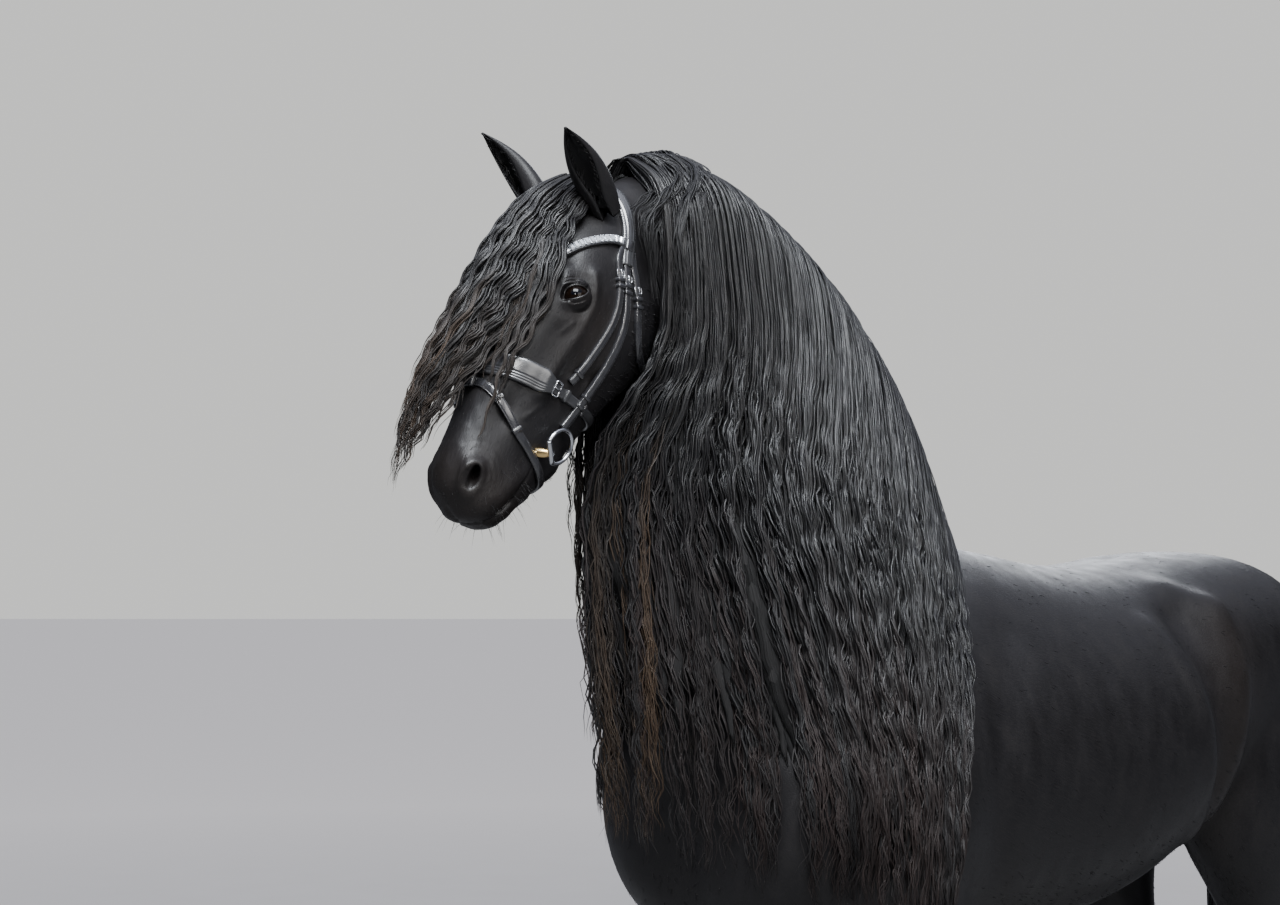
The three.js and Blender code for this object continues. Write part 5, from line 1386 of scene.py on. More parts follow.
def feather_paths(key, count, M, seed):
    """Long hair of the lower leg: it leaves the skin all round and falls over the hoof."""
    rows, side = LEGS[key]
    rng = np.random.default_rng(seed)
    zs = [e[0] for e in FEATHER]
    sec = []
    for z, fr, bk, sd in FEATHER:
        fl, bl, w, xc = leg_section(rows, max(z, 84))
        low = max(0, (100 - z) / 100)
        sec.append([fl + fr + low * 44, bl - bk + low * 14, w + sd + low * 10, xc, fl, bl, w])
    sec = np.array(sec)
    u_root = 4.6 * rng.random(count) ** 0.75
    phi = rng.uniform(-np.pi, np.pi, count)
    back = rng.random(count) < 0.45
    phi = np.where(back, np.pi + rng.normal(0, 0.75, count), phi)
    drop = rng.uniform(1.5, 3.2, count) + 0.6 * (np.cos(phi) < -0.3)
    u_end = np.minimum(u_root + drop, 4.98)
    k = np.linspace(0, 1, M)
    u = u_root[:, None] + (u_end - u_root)[:, None] * k[None]
    q = cr(sec, u)
    q0 = cr(sec, u_root)
    full = smooth((k - 0.0) / 0.75)[None] * rng.uniform(0.55, 0.97, count)[:, None]
    ends = smooth((u - 3.6) / 1.4)
    c, s = np.cos(phi)[:, None], np.sin(phi)[:, None]
    fm_out, fm_in = (q[..., 0] + q[..., 1]) / 2, (q[..., 4] + q[..., 5]) / 2
    # near the top of the strand it lies on the leg, then swings out to the feather's shape
    rf = (q[..., 0] - q[..., 1]) / 2
    ri = (q[..., 4] - q[..., 5]) / 2
    f = (fm_in + (ri - 2) * c) * (1 - full) + (fm_out + (rf - 5) * c) * full
    x = (q[..., 3] + (q[..., 6] - 2) * s) * (1 - full) + (q[..., 3] + (q[..., 2] - 5) * s) * full
    z = cr(np.array(zs, float)[:, None], u)[..., 0]
    C = np.stack([x, -f, np.maximum(z, 9)], -1)
    B = unit(np.stack([s + 0 * z, -c + 0 * z, 0.0 * z], -1))
    A = unit(np.cross(np.gradient(C, axis=1), B))
    C = waves(C, A, B, rng.uniform(1.5, 3.6, count), rng.uniform(46, 80, count), rng.uniform(0, 6.28, count), rng, 0.1, 0.6)
    # the root is thin and sits inside the skin
    C[:, 0] -= B[:, 0] * 8
    C[:, 1] -= B[:, 1] * 2
    C[..., 2] = np.maximum(C[..., 2], 6)
    size = rng.uniform(1.8, 3.0, count)
    W = size[:, None] * (np.clip((1 - k) / 0.5, 0, 1) ** 0.7 * (0.4 + 0.6 * smooth(k / 0.16)))[None]
    T = W * 0.45
    uv = np.stack([0.02 + 0.94 * ((phi / (2 * np.pi)) % 1.0), 0.02 + 0.94 * u_root / 4.7], 1)
    return C, W, T, B, np.clip(uv, 0.01, 0.99), rng.random(count), rng.random(count)


def lie_of_coat(P):
    """The way the short coat lies, as a direction at each point."""
    f, z = -P[:, 1], P[:, 2]
    S, T, X = to_st(P)
    head = smooth((f - 700) / 40) * (z > 1480)
    neck = smooth((z - 1300 - 0.35 * (300 - f)) / 160) * smooth((f - 20) / 160) * (1 - head)
    leg = smooth((900 - z) / 140)
    d = np.stack([0 * z, 0 * z + 1.0, 0 * z - 0.42], 1)
    d = d * (1 - neck[:, None]) + np.stack([0 * z, 0 * z + 0.55, 0 * z - 1.0], 1) * neck[:, None]
    d = d * (1 - leg[:, None]) + np.stack([0 * z, 0 * z + 0.06, 0 * z - 1.0], 1) * leg[:, None]
    # up the face from the muzzle the hair lies towards the brow's whorl, then back
    hd = np.stack([0 * z, 0 * z + 0.30, 0 * z + 0.62], 1)
    jaw = smooth((-20 - T) / 80)[:, None]
    hd = hd * (1 - jaw) + np.stack([0 * z, 0 * z + 0.9, 0 * z - 0.35], 1) * jaw
    d = d * (1 - head[:, None]) + hd * head[:, None]
    return unit(d)


# -------------------------------------------------------------------- bridle
def head_frame(u, phi):
    """Point, outward normal and the directions of growing u and phi on the head's loft."""
    u, phi = np.asarray(u, float), np.asarray(phi, float)
    h = 1e-3
    P = posed(loft_at(HEAD, u, phi))
    du = unit(posed(loft_at(HEAD, u + h, phi)) - posed(loft_at(HEAD, u - h, phi)))
    dp = unit(posed(loft_at(HEAD, u, phi + h)) - posed(loft_at(HEAD, u, phi - h)))
    n = unit(np.cross(du, dp))
    mid = posed(loft_at(HEAD, u, 0 * phi)) * 0.5 + posed(loft_at(HEAD, u, 0 * phi + np.pi)) * 0.5
    flip = np.einsum("...i,...i->...", n, P - mid) < 0
    n = np.where(flip[..., None], -n, n)
    return P, n, du, dp


def lay_path(pts, count, side=1, closed=False):
    """Even points of a path given as [u, phi degrees, lift]; returns centres on the skin, normals, tangents."""
    p = np.array([[q[0], math.radians(q[1]) * side, q[2] if len(q) > 2 else 0.0] for q in pts])
    if closed:
        s = np.linspace(0, len(p), 12 * len(p), endpoint=False)
        pad = np.concatenate([p, p[:3]])
        fine = p[np.floor(s).astype(int) % len(p)] * 0
        fine = p[np.arange(len(p))]
    s = np.linspace(0, len(p) - 1, 30 * (len(p) - 1))
    fine = cr(p, s)
    P, n, _, _ = head_frame(fine[:, 0], fine[:, 1])
    P = P + n * fine[:, 2:3]
    return resample(P, n, count)


def resample(P, n, count):
    L = np.concatenate([[0], np.cumsum(np.linalg.norm(np.diff(P, axis=0), axis=1))])
    t = np.linspace(0, L[-1], count)
    Q = np.stack([np.interp(t, L, P[:, k]) for k in range(3)], 1)
    N = unit(np.stack([np.interp(t, L, n[:, k]) for k in range(3)], 1))
    return Q, N, t


def settle(P, N, rest, reach=18.0, easing=4):
    """Moves path points along their normals so that they lie at the height rest over the skin."""
    W = world(P)
    push = np.zeros(len(P))
    for i in range(len(P)):
        loc, nor, idx, dist = TREE.find_nearest(W[i].tolist(), 0.05)
        if loc is None:
            continue
        d = (Vector(W[i]) - loc).dot(nor) * 1000
        push[i] = np.clip(rest - d, -4.0, reach)
    for _ in range(easing):
        q = push.copy()
        q[1:-1] = 0.25 * push[:-2] + 0.5 * push[1:-1] + 0.25 * push[2:]
        push = np.maximum(q, push - 1.0)
    return P + N * push[:, None]


def sweep(P, N, prof, close=False):
    """Sweeps closed profiles (count, K, 2) of (across, height) along a path; rings for tube_parts."""
    tan = np.gradient(P, axis=0)
    if close:
        tan = np.roll(P, -1, 0) - np.roll(P, 1, 0)
    tan = unit(tan)
    acr = unit(np.cross(tan, N))
    nn = np.cross(acr, tan)
    return P[:, None] + acr[:, None] * prof[..., 0:1] + nn[:, None] * prof[..., 1:2], tan, acr, nn


def strap_profile(width, thick, count, crown=0.6, groove=0.35, sink=3.0, taper=None):
    """Rounded leather with a pressed line near each edge."""
    w = np.broadcast_to(np.asarray(width, float) / 2, (count,))
    t = np.broadcast_to(np.asarray(thick, float), (count,))
    x = np.array([-1, -0.985, -0.93, -0.84, -0.79, -0.72, -0.4, 0, 0.4, 0.72, 0.79, 0.84, 0.93, 0.985, 1])
    h = np.array([0.30, 0.72, 0.94, 1.0, 0.86, 1.0, 1.05, 1.07, 1.05, 1.0, 0.86, 1.0, 0.94, 0.72, 0.30])
    top = np.stack([w[:, None] * x[None], t[:, None] * (h[None] if groove else np.minimum(h, 1)[None])], -1)
    bot = np.stack([w[:, None] * np.array([0.96, 0.0, -0.96])[None], np.full((count, 3), -sink)], -1)
    return np.concatenate([top, bot], 1)


def ring_loop(R):
    """Closed ring of rings (nr, ns, 3) joined end to start."""
    nr, ns = R.shape[:2]
    i, j = np.meshgrid(np.arange(nr), np.arange(ns), indexing="ij")
    Q = np.stack([i * ns + j, i * ns + (j + 1) % ns, ((i + 1) % nr) * ns + (j + 1) % ns, ((i + 1) % nr) * ns + j], -1).reshape(-1, 4)
    return R.reshape(-1, 3), Q, np.zeros((0, 3), int)


def wire(points, radius, K=10, close=True):
    """A round wire through points (closed loop or open with caps)."""
    P = np.asarray(points, float)
    tan = unit(np.roll(P, -1, 0) - np.roll(P, 1, 0)) if close else unit(np.gradient(P, axis=0))
    c = P.mean(0)
    ref = unit(np.cross(P[1] - P[0], P[len(P) // 3] - c) + 1e-9)
    A = unit(np.cross(tan, np.broadcast_to(ref, tan.shape)))
    B = np.cross(tan, A)
    k = np.linspace(0, 2 * np.pi, K, endpoint=False)
    r = np.broadcast_to(np.asarray(radius, float), (len(P),))[:, None, None]
    R = P[:, None] + (A[:, None] * np.cos(k)[None, :, None] + B[:, None] * np.sin(k)[None, :, None]) * r
    return ring_loop(R) if close else tube_parts(R)


def rounded_rect(w, h, r, per=5):
    pts = []
    for cx, cy, a0 in ((w / 2 - r, h / 2 - r, 0), (-w / 2 + r, h / 2 - r, 90), (-w / 2 + r, -h / 2 + r, 180), (w / 2 - r, -h / 2 + r, 270)):
        for k in range(per):
            a = math.radians(a0 + 90 * k / (per - 1))
            pts.append((cx + r * math.cos(a), cy + r * math.sin(a)))
    return np.array(pts)


def buckle(P, tan, acr, nn, width, length=15.0, r=1.5, rise=2.5):
    """A polished frame round the strap with its prong."""
    q = rounded_rect(width, length, 3.2)
    frame_pts = P + acr * q[:, :1] + tan * q[:, 1:] + nn * (rise + 0.9 * np.cos(q[:, 1:] / length * np.pi))
    parts = [wire(frame_pts, r)]
    t = np.linspace(-0.5, 0.52, 9)[:, None]
    parts.append(wire(P + tan * (t * length) + nn * (rise + 1.6 + 1.2 * np.cos(t * 3)), 1.15, 8, False))
    return parts


def keeper(P, tan, acr, nn, width, thick, wide=6.0):
    """A narrow leather loop over the strap."""
    q = rounded_rect(width + 3.2, thick + 2.6 + 3, 1.6, 4)
    q[:, 1] += (thick + 2.6 + 3) / 2 - 3
    s = np.array([-0.5, -0.42, 0.42, 0.5])
    grow = np.array([-0.7, 0.0, 0.0, -0.7])
    R = np.stack([P + tan * (k * wide) + acr * (q[:, :1] * (1 + g / 10)) + nn * (q[:, 1:] + g * 0.6) for k, g in zip(s, grow)])
    return [tube_parts(R)]


def stitches(P, tan, acr, nn, offset, height, step=4.6, length=2.9, r=0.55):
    """A row of thread along the strap; offset across and height are given for each path point."""
    L = np.concatenate([[0], np.cumsum(np.linalg.norm(np.diff(P, axis=0), axis=1))])
    m = max(1, int(L[-1] / step))
    t = (np.arange(m) + 0.5) * L[-1] / m
    f = lambda a: np.stack([np.interp(t, L, a[:, k]) for k in range(3)], 1)
    off = np.interp(t, L, np.broadcast_to(offset, (len(P),)))
    hgt = np.interp(t, L, np.broadcast_to(height, (len(P),)))
    p, ta, ac, no = f(P), unit(f(tan)), unit(f(acr)), unit(f(nn))
    c = p + ac * off[:, None] + no * hgt[:, None]
    # four-sided little bars with pointed ends
    ends = [(-0.5, 0.0), (-0.3, 1.0), (0.3, 1.0), (0.5, 0.0)]
    K = 4
    ang = np.arange(K) * np.pi / 2 + np.pi / 4
    V, Q, T = [], [], []
    for i in range(m):
        base = i * (2 * K + 2)
        rings = [c[i] + ta[i] * (e * length) + (ac[i] * np.cos(ang)[:, None] + no[i] * np.sin(ang)[:, None]) * r for e, _ in ends[1:3]]
        V += [rings[0], rings[1], (c[i] - ta[i] * length * 0.5 - no[i] * 0.5)[None], (c[i] + ta[i] * length * 0.5 - no[i] * 0.5)[None]]
        for j in range(K):
            j2 = (j + 1) % K
            Q.append([base + j, base + j2, base + K + j2, base + K + j])
            T += [[base + j2, base + j, base + 2 * K], [base + K + j, base + K + j2, base + 2 * K + 1]]
    return np.concatenate(V), np.array(Q), np.array(T)


def strap_piece(name, pts, width, thick, side, mat, thread, nodes, lift=0.0, buckles=(), keepers=(), count=None, steel=None, stitched=True, pin=True):
    """A strap with its rows of stitching, keepers and buckles."""
    P, N, t = lay_path(pts, count or 60, side)
    P = settle(P, N, lift)
    n = len(P)
    w = np.broadcast_to(np.asarray(width(np.linspace(0, 1, n)) if callable(width) else width, float), (n,))
    R, tan, acr, nn = sweep(P, N, strap_profile(w, thick, n))
    leather = [tube_parts(R)]
    for k in keepers:
        i = int(k * (n - 1))
        leather += keeper(P[i], tan[i], acr[i], nn[i], w[i], thick)
    ob = solid_obj(name, leather)
    finish_piece(ob, mat, nodes)
    if stitched:
        rows = [stitches(P, tan, acr, nn, s * (w / 2 - w * 0.09), thick * 0.93) for s in (1, -1)]
        finish_piece(solid_obj(name + "_thread", rows), thread)
    if buckles:
        parts = []
        for k in buckles:
            i = int(k * (n - 1))
            parts += buckle(P[i], tan[i], acr[i], nn[i], w[i] + 3.6, 11.0, 0.95, thick * 0.8)
        finish_piece(solid_obj(name + "_buckle", parts), steel)
    return P, tan, acr, nn


def make_bridle():
    leather = leather_material()
    pad = simple_material("padded_leather", (0.020, 0.0202, 0.0222), 0.30, spec=0.9, scale=240, vary=0.3, bump=0.22, dist=0.0004, coat=0.8, coat_rough=0.26)
    thread = simple_material("waxed_thread", (0.020, 0.020, 0.022), 0.5, spec=0.4, scale=900, bump=0.5, dist=0.0002)
    steel = simple_material("polished_steel", (0.56, 0.57, 0.60), 0.17, metal=1.0, scale=420, vary=0.06, bump=0.08, dist=0.0003)
    gold = simple_material("copper_alloy", (0.78, 0.56, 0.26), 0.22, metal=1.0, scale=300, vary=0.12, bump=0.1)
    stone = simple_material("cut_crystal", (0.83, 0.86, 0.90), 0.07, metal=0.75, spec=0.9, scale=60, vary=0.12, bump=0.0)

    # noseband: a wide padded front that narrows into a buckled strap under the jaw
    ph = np.linspace(-180, 180, 181)[:-1]
    rad = np.radians(ph)
    P, N, _, _ = head_frame(np.full(len(rad), 6.2), rad)
    P = settle(np.concatenate([P, P[:1]]), np.concatenate([N, N[:1]]), 0.5)[:-1]
    wide = 17 + 24 * (1 - smooth((np.abs(ph) - 84) / 18))
    xs = np.linspace(-1, 1, 41)
    bulge = np.maximum(1 - xs ** 6, 0) ** 0.5
    full = (1 - smooth((np.abs(ph) - 84) / 14))[:, None]
    _, _, du_, dp_ = head_frame(np.array([6.2]), np.array([0.9]))
    _, nrm_, _, _ = head_frame(np.array([6.2]), np.array([0.9]))
    low = 1.0 if (np.cross(dp_[0], nrm_[0]) @ du_[0]) > 0 else -1.0      # the side of the band nearer the nose
    lines = -1.5 * sum(gauss(((xs * low - c) / 0.055) ** 2) for c in (0.30, 0.50, 0.70))[None] * full
    top = np.stack([wide[:, None] / 2 * xs[None], 2.2 + (4.4 + 1.2 * full) * bulge[None] + lines - 1.4], -1)
    bot = np.stack([wide[:, None] / 2 * np.array([0.9, 0, -0.9])[None], np.full((len(ph), 3), -3.0)], -1)
    R, tan, acr, nn = sweep(P, N, np.concatenate([top, bot], 1), True)
    parts = [ring_loop(R)]
    for a in (108, 128, -108, -128):
        i = int(np.abs(ph - a).argmin())
        parts += keeper(P[i], tan[i], acr[i], nn[i], wide[i], 5.4, 7)
    finish_piece(solid_obj("noseband_padded", parts), pad, ["noseband"])
    keep = np.abs(ph) < 86
    i0, i1 = np.nonzero(keep)[0][[0, -1]]
    sl = slice(i0, i1 + 1)
    rows = [stitches(P[sl], tan[sl], acr[sl], nn[sl], s * 18.4, 4.9, 4.4) for s in (1, -1)]
    finish_piece(solid_obj("noseband_thread", rows), thread)
    parts = []
    for a in (98, -98):
        i = int(np.abs(ph - a).argmin())
        parts += buckle(P[i], tan[i], acr[i], nn[i], 24, 15, 1.35, 5.4)
    finish_piece(solid_obj("noseband_buckles", parts), steel)

    # flash strap, in front of the bit and under the chin
    P, N, _, _ = head_frame(6.62 + 1.8 * np.sin(rad / 2) ** 2, rad)
    P = settle(np.concatenate([P, P[:1]]), np.concatenate([N, N[:1]]), 0.5)[:-1]
    prof = strap_profile(14.5, 4.6, len(rad))
    R, tan, acr, nn = sweep(P, N, prof, True)
    parts = [ring_loop(R)]
    for a in (47, -47, 84):
        i = int(np.abs(ph - a).argmin())
        parts += keeper(P[i], tan[i], acr[i], nn[i], 14.5, 4.6, 7)
    finish_piece(solid_obj("flash_leather", parts), leather, ["flash_strap"])
    rows = [stitches(P, tan, acr, nn, s * 5.6, 4.3) for s in (1, -1)]
    finish_piece(solid_obj("flash_thread", rows), thread)
    i = int(np.abs(ph + 66).argmin())
    finish_piece(solid_obj("flash_buckle", buckle(P[i], tan[i], acr[i], nn[i], 22, 14, 1.5, 3.8)), steel)
    # loop that carries the flash strap on the nose
    loopP, loopN, _, _ = head_frame(np.linspace(6.05, 6.75, 16), np.zeros(16))
    loopP = settle(loopP, loopN, 4.0)
    R, tan, acr, nn = sweep(loopP, loopN, strap_profile(24, 6.5, 16))
    finish_piece(solid_obj("flash_loop", [tube_parts(R)]), leather)

    for side, tag in ((1, "left"), (-1, "right")):
        cheek = [[2.75, 96], [3.0, 99], [3.6, 107], [4.3, 114, 4], [5.2, 120, 5], [6.1, 123, 4], [6.5, 123], [6.75, 122]]
        strap_piece("cheek_strap_" + tag, cheek, 15, 5.2, side, leather, thread, ["cheekpiece_" + tag], 0.8,
                    buckles=(0.13,), keepers=(0.17, 0.21, 0.80, 0.86), count=110, steel=steel)
        hang = [[2.62, 90], [3.0, 93], [3.6, 102], [4.3, 107, 2], [5.2, 108, 3], [5.7, 107, 2], [5.92, 106]]
        strap_piece("hanger_strap_" + tag, hang, 13, 4.8, side, leather, thread, ["noseband_hanger_" + tag], 0.6,
                    buckles=(0.20,), keepers=(0.25, 0.29, 0.93), count=96, steel=steel)
        throat = [[2.58, 97], [3.0, 106], [3.5, 115], [4.0, 122], [4.35, 132], [4.5, 147], [4.45, 172]]
        strap_piece("throat_strap_" + tag, throat, 15, 5.2, side, leather, thread, ["throatlash_" + tag], 1.2,
                    buckles=(0.26,), keepers=(0.31, 0.36), count=96, steel=steel)
        crown = [[2.98, 99], [2.5, 92], [2.05, 80], [1.65, 63], [1.35, 42], [1.2, 20], [1.15, 0]]
        P, N, t = lay_path(crown, 90, side)
        P = settle(P, N, 1.0)
        k = np.linspace(0, 1, 90)
        w = 24 + 4 * smooth(k / 0.4)
        xs = np.linspace(-1, 1, 23)
        prof = np.concatenate([
            np.stack([w[:, None] / 2 * xs[None], 2.0 + 4.6 * (np.maximum(1 - xs ** 4, 0) ** 0.5)[None] + 1.7 * (np.abs(xs) < 0.52)[None]
                      - 0.7 * (np.abs(np.abs(xs) - 0.30) < 0.05)[None] + 0 * w[:, None]], -1),
            np.stack([w[:, None] / 2 * np.array([0.9, 0, -0.9])[None], np.full((90, 3), -3.0)], -1)], 1)
        R, tan, acr, nn = sweep(P, N, prof)
        finish_piece(solid_obj("crown_pad_" + tag, [tube_parts(R)]), pad, ["crown_" + tag])
        rows = [stitches(P, tan, acr, nn, s * 5.2, 8.2) for s in (1, -1)] + [stitches(P, tan, acr, nn, s * (w / 2 - 1.8), 5.4) for s in (1, -1)]
        finish_piece(solid_obj("crown_thread_" + tag, rows), thread)

        # bit: a cheek ring with a straight barrel at the mouth, and the mouthpiece's end
        u0, p0 = 7.2, math.radians(124) * side
        P0, n0, du, dp = head_frame(u0, p0)
        M0, _, _, _ = head_frame(7.66, math.radians(115) * side)
        c = P0 + n0 * 11
        toward = M0 - P0
        toward = unit(toward - n0 * (toward @ n0))
        along = np.cross(n0, toward)
        a = np.linspace(0, 2 * np.pi, 72, endpoint=False)
        r = 27.0
        qx, qy = r * np.cos(a), r * np.sin(a)
        qx = np.minimum(qx * 1.08 - 2.0, r * 0.70)
        loop = c + toward * qx[:, None] + along * qy[:, None]
        thick = 3.5 + 0.0 * a
        parts = [wire(loop, 3.5, 14)]
        t = np.linspace(-1, 1, 15)
        barrel = c + toward * (r * 0.70) + along * (t[:, None] * 20)
        parts.append(wire(barrel, 4.9 - 1.1 * np.abs(t) ** 4, 16, False))
        finish_piece(solid_obj("bit_cheek_" + tag, parts), steel, ["bit_ring_" + tag])
        inner = M0 - n0 * 16 + toward * 4
        t = np.linspace(0, 1, 14)[:, None]
        mp = (c + toward * (r * 0.70 + 3)) * (1 - t) + inner * t
        finish_piece(solid_obj("mouthpiece_end_" + tag, [wire(mp, 6.2 + 2.2 * np.sin(t[:, 0] * 3.0), 16, False)]), gold)

    # browband: a leather band set with a row of cut stones
    brow = [[2.55, 92], [2.64, 78], [2.94, 63], [3.28, 50], [3.62, 38], [3.84, 20], [3.9, 0], [3.84, -20], [3.62, -38], [3.28, -50],
            [2.94, -63], [2.64, -78], [2.55, -92]]
    P, N, t = lay_path(brow, 150, 1)
    P = settle(P, N, 1.6)
    R, tan, acr, nn = sweep(P, N, strap_profile(16.5, 5.0, len(P), groove=0))
    leather_parts = [tube_parts(R)]
    for k in (0.0, 1.0):
        i = int(k * (len(P) - 1))
        leather_parts += keeper(P[i], tan[i], acr[i], nn[i], 17, 6, 14)
    finish_piece(solid_obj("browband_leather", leather_parts), leather, ["browband"])
    L = np.concatenate([[0], np.cumsum(np.linalg.norm(np.diff(P, axis=0), axis=1))])
    m = int((L[-1] - 26) / 9.6)
    pos = 13 + (np.arange(m) + 0.5) * (L[-1] - 26) / m
    V, Q, T = [], [], []
    sp, st_ = [], []
    for d in pos:
        i = min(int(np.interp(d, L, np.arange(len(P)))), len(P) - 2)
        f = (d - L[i]) / (L[i + 1] - L[i])
        p = P[i] * (1 - f) + P[i + 1] * f
        ta, ac, no = tan[i], acr[i], nn[i]
        def ring(w, h, cut, z):
            q = [(w, h - cut), (w - cut, h), (-w + cut, h), (-w, h - cut), (-w, -h + cut), (-w + cut, -h), (w - cut, -h), (w, -h + cut)]
            return np.array([p + ta * a + ac * b + no * z for a, b in q])
        R8 = np.stack([ring(4.0, 6.0, 1.6, 3.2), ring(4.35, 6.4, 1.7, 6.0), ring(3.7, 5.6, 1.5, 7.8), ring(2.3, 3.9, 1.0, 9.0)])
        sp.append(tube_parts(R8))
        # four claws
        for a, b in ((3.9, 5.6), (-3.9, 5.6), (3.9, -5.6), (-3.9, -5.6)):
            st_.append(wire(np.array([p + ta * a + ac * b + no * 4.0, p + ta * a * 0.98 + ac * b * 0.98 + no * 6.6,
                                      p + ta * a * 0.86 + ac * b * 0.86 + no * 7.8]), 0.75, 6, False))
    finish_piece(solid_obj("browband_stones", sp, False), stone)
    finish_piece(solid_obj("browband_claws", st_), steel)


# -------------------------------------------------------------- coat tufts
def surface_sample(ob, count, weight, seed):
    """Random points of a mesh, denser where weight (a function of face centres in mm) is high."""
    rng = np.random.default_rng(seed)
    m = ob.data
    m.calc_loop_triangles()
    t = np.empty(len(m.loop_triangles) * 3, np.int32)
    m.loop_triangles.foreach_get("vertices", t)
    t = t.reshape(-1, 3)
    v = np.empty(len(m.vertices) * 3, np.float32)
    m.vertices.foreach_get("co", v)
    v = v.reshape(-1, 3).astype(float) * 1000
    v[:, 1] -= OFF_Y
    nr = np.empty(len(m.vertices) * 3, np.float32)
    m.vertex_normals.foreach_get("vector", nr)
    nr = nr.reshape(-1, 3).astype(float)
    a, b, c = v[t[:, 0]], v[t[:, 1]], v[t[:, 2]]
    area = np.linalg.norm(np.cross(b - a, c - a), axis=1) / 2
    w = area * weight((a + b + c) / 3, unit(nr[t].mean(1)))
    pick = rng.choice(len(t), count, p=w / w.sum())
    r1, r2 = np.sqrt(rng.random(count)), rng.random(count)
    bar = np.stack([1 - r1, r1 * (1 - r2), r1 * r2], 1)
    P = (v[t[pick]] * bar[..., None]).sum(1)
    N = unit((nr[t[pick]] * bar[..., None]).sum(1))
    return P, N, rng


def skin_uv(P, seed=0):
    """A point's place on an unwrap of the skin: along the body, and round it, in four islands."""
    f, z, x = -P[:, 1], P[:, 2], P[:, 0]
    S, T, X = to_st(P)
    head = (f > 700) & (z > 1480)
    leg = z < 860
    u = (f + 1260) / 2520
    v = (np.arctan2(x, z - 1230) / np.pi) * 0.5 + 0.5
    uv = np.stack([0.02 + 0.60 * u, 0.40 + 0.56 * v], 1)
    hu, hv = (S + 40) / 680, np.arctan2(X, T + 30) / (2 * np.pi) + 0.5
    uv = np.where(head[:, None], np.stack([0.66 + 0.32 * hu, 0.40 + 0.56 * hv], 1), uv)
    q = (x > 0) * 1 + (f > -300) * 2
    la = np.arctan2(x - np.sign(x) * 160, f - np.where(f > -300, 280, -1080)) / (2 * np.pi) + 0.5
    uv = np.where(leg[:, None], np.stack([0.02 + 0.235 * q + 0.21 * la, 0.03 + 0.33 * z / 860], 1), uv)
    return np.clip(uv, 0.005, 0.99)


def tuft_paths(P, N, rng, length, lean, half, M=4, curl=0.25):
    """Short tufts that leave the skin at a low angle and lie the way the coat lies."""
    n = len(P)
    D = lie_of_coat(P)
    D = D + 0.16 * rng.normal(size=(n, 3))
    D = unit(D - N * np.einsum("ij,ij->i", D, N)[:, None])
    ln = length * rng.uniform(0.7, 1.25, n)
    k = np.linspace(0, 1, M)
    rise = (np.asarray(lean) * rng.uniform(0.7, 1.3, n))[:, None] * np.sin(k * 2.2)[None] / 0.85
    C = P[:, None] - N[:, None] * 1.2 + D[:, None] * (ln[:, None] * k[None])[..., None] + N[:, None] * (rise + 1.4 * smooth(k / 0.3)[None])[..., None]
    side = np.cross(D, N)
    C = C + side[:, None] * (ln[:, None] * curl * rng.normal(0, 0.3, n)[:, None] * (k ** 2)[None])[..., None]
    W = half * rng.uniform(0.7, 1.3, n)[:, None] * np.clip((1 - k) / 0.8, 0, 1)[None] ** 0.7
    return C, W, W * 0.4, np.repeat(N[:, None], M, 1)


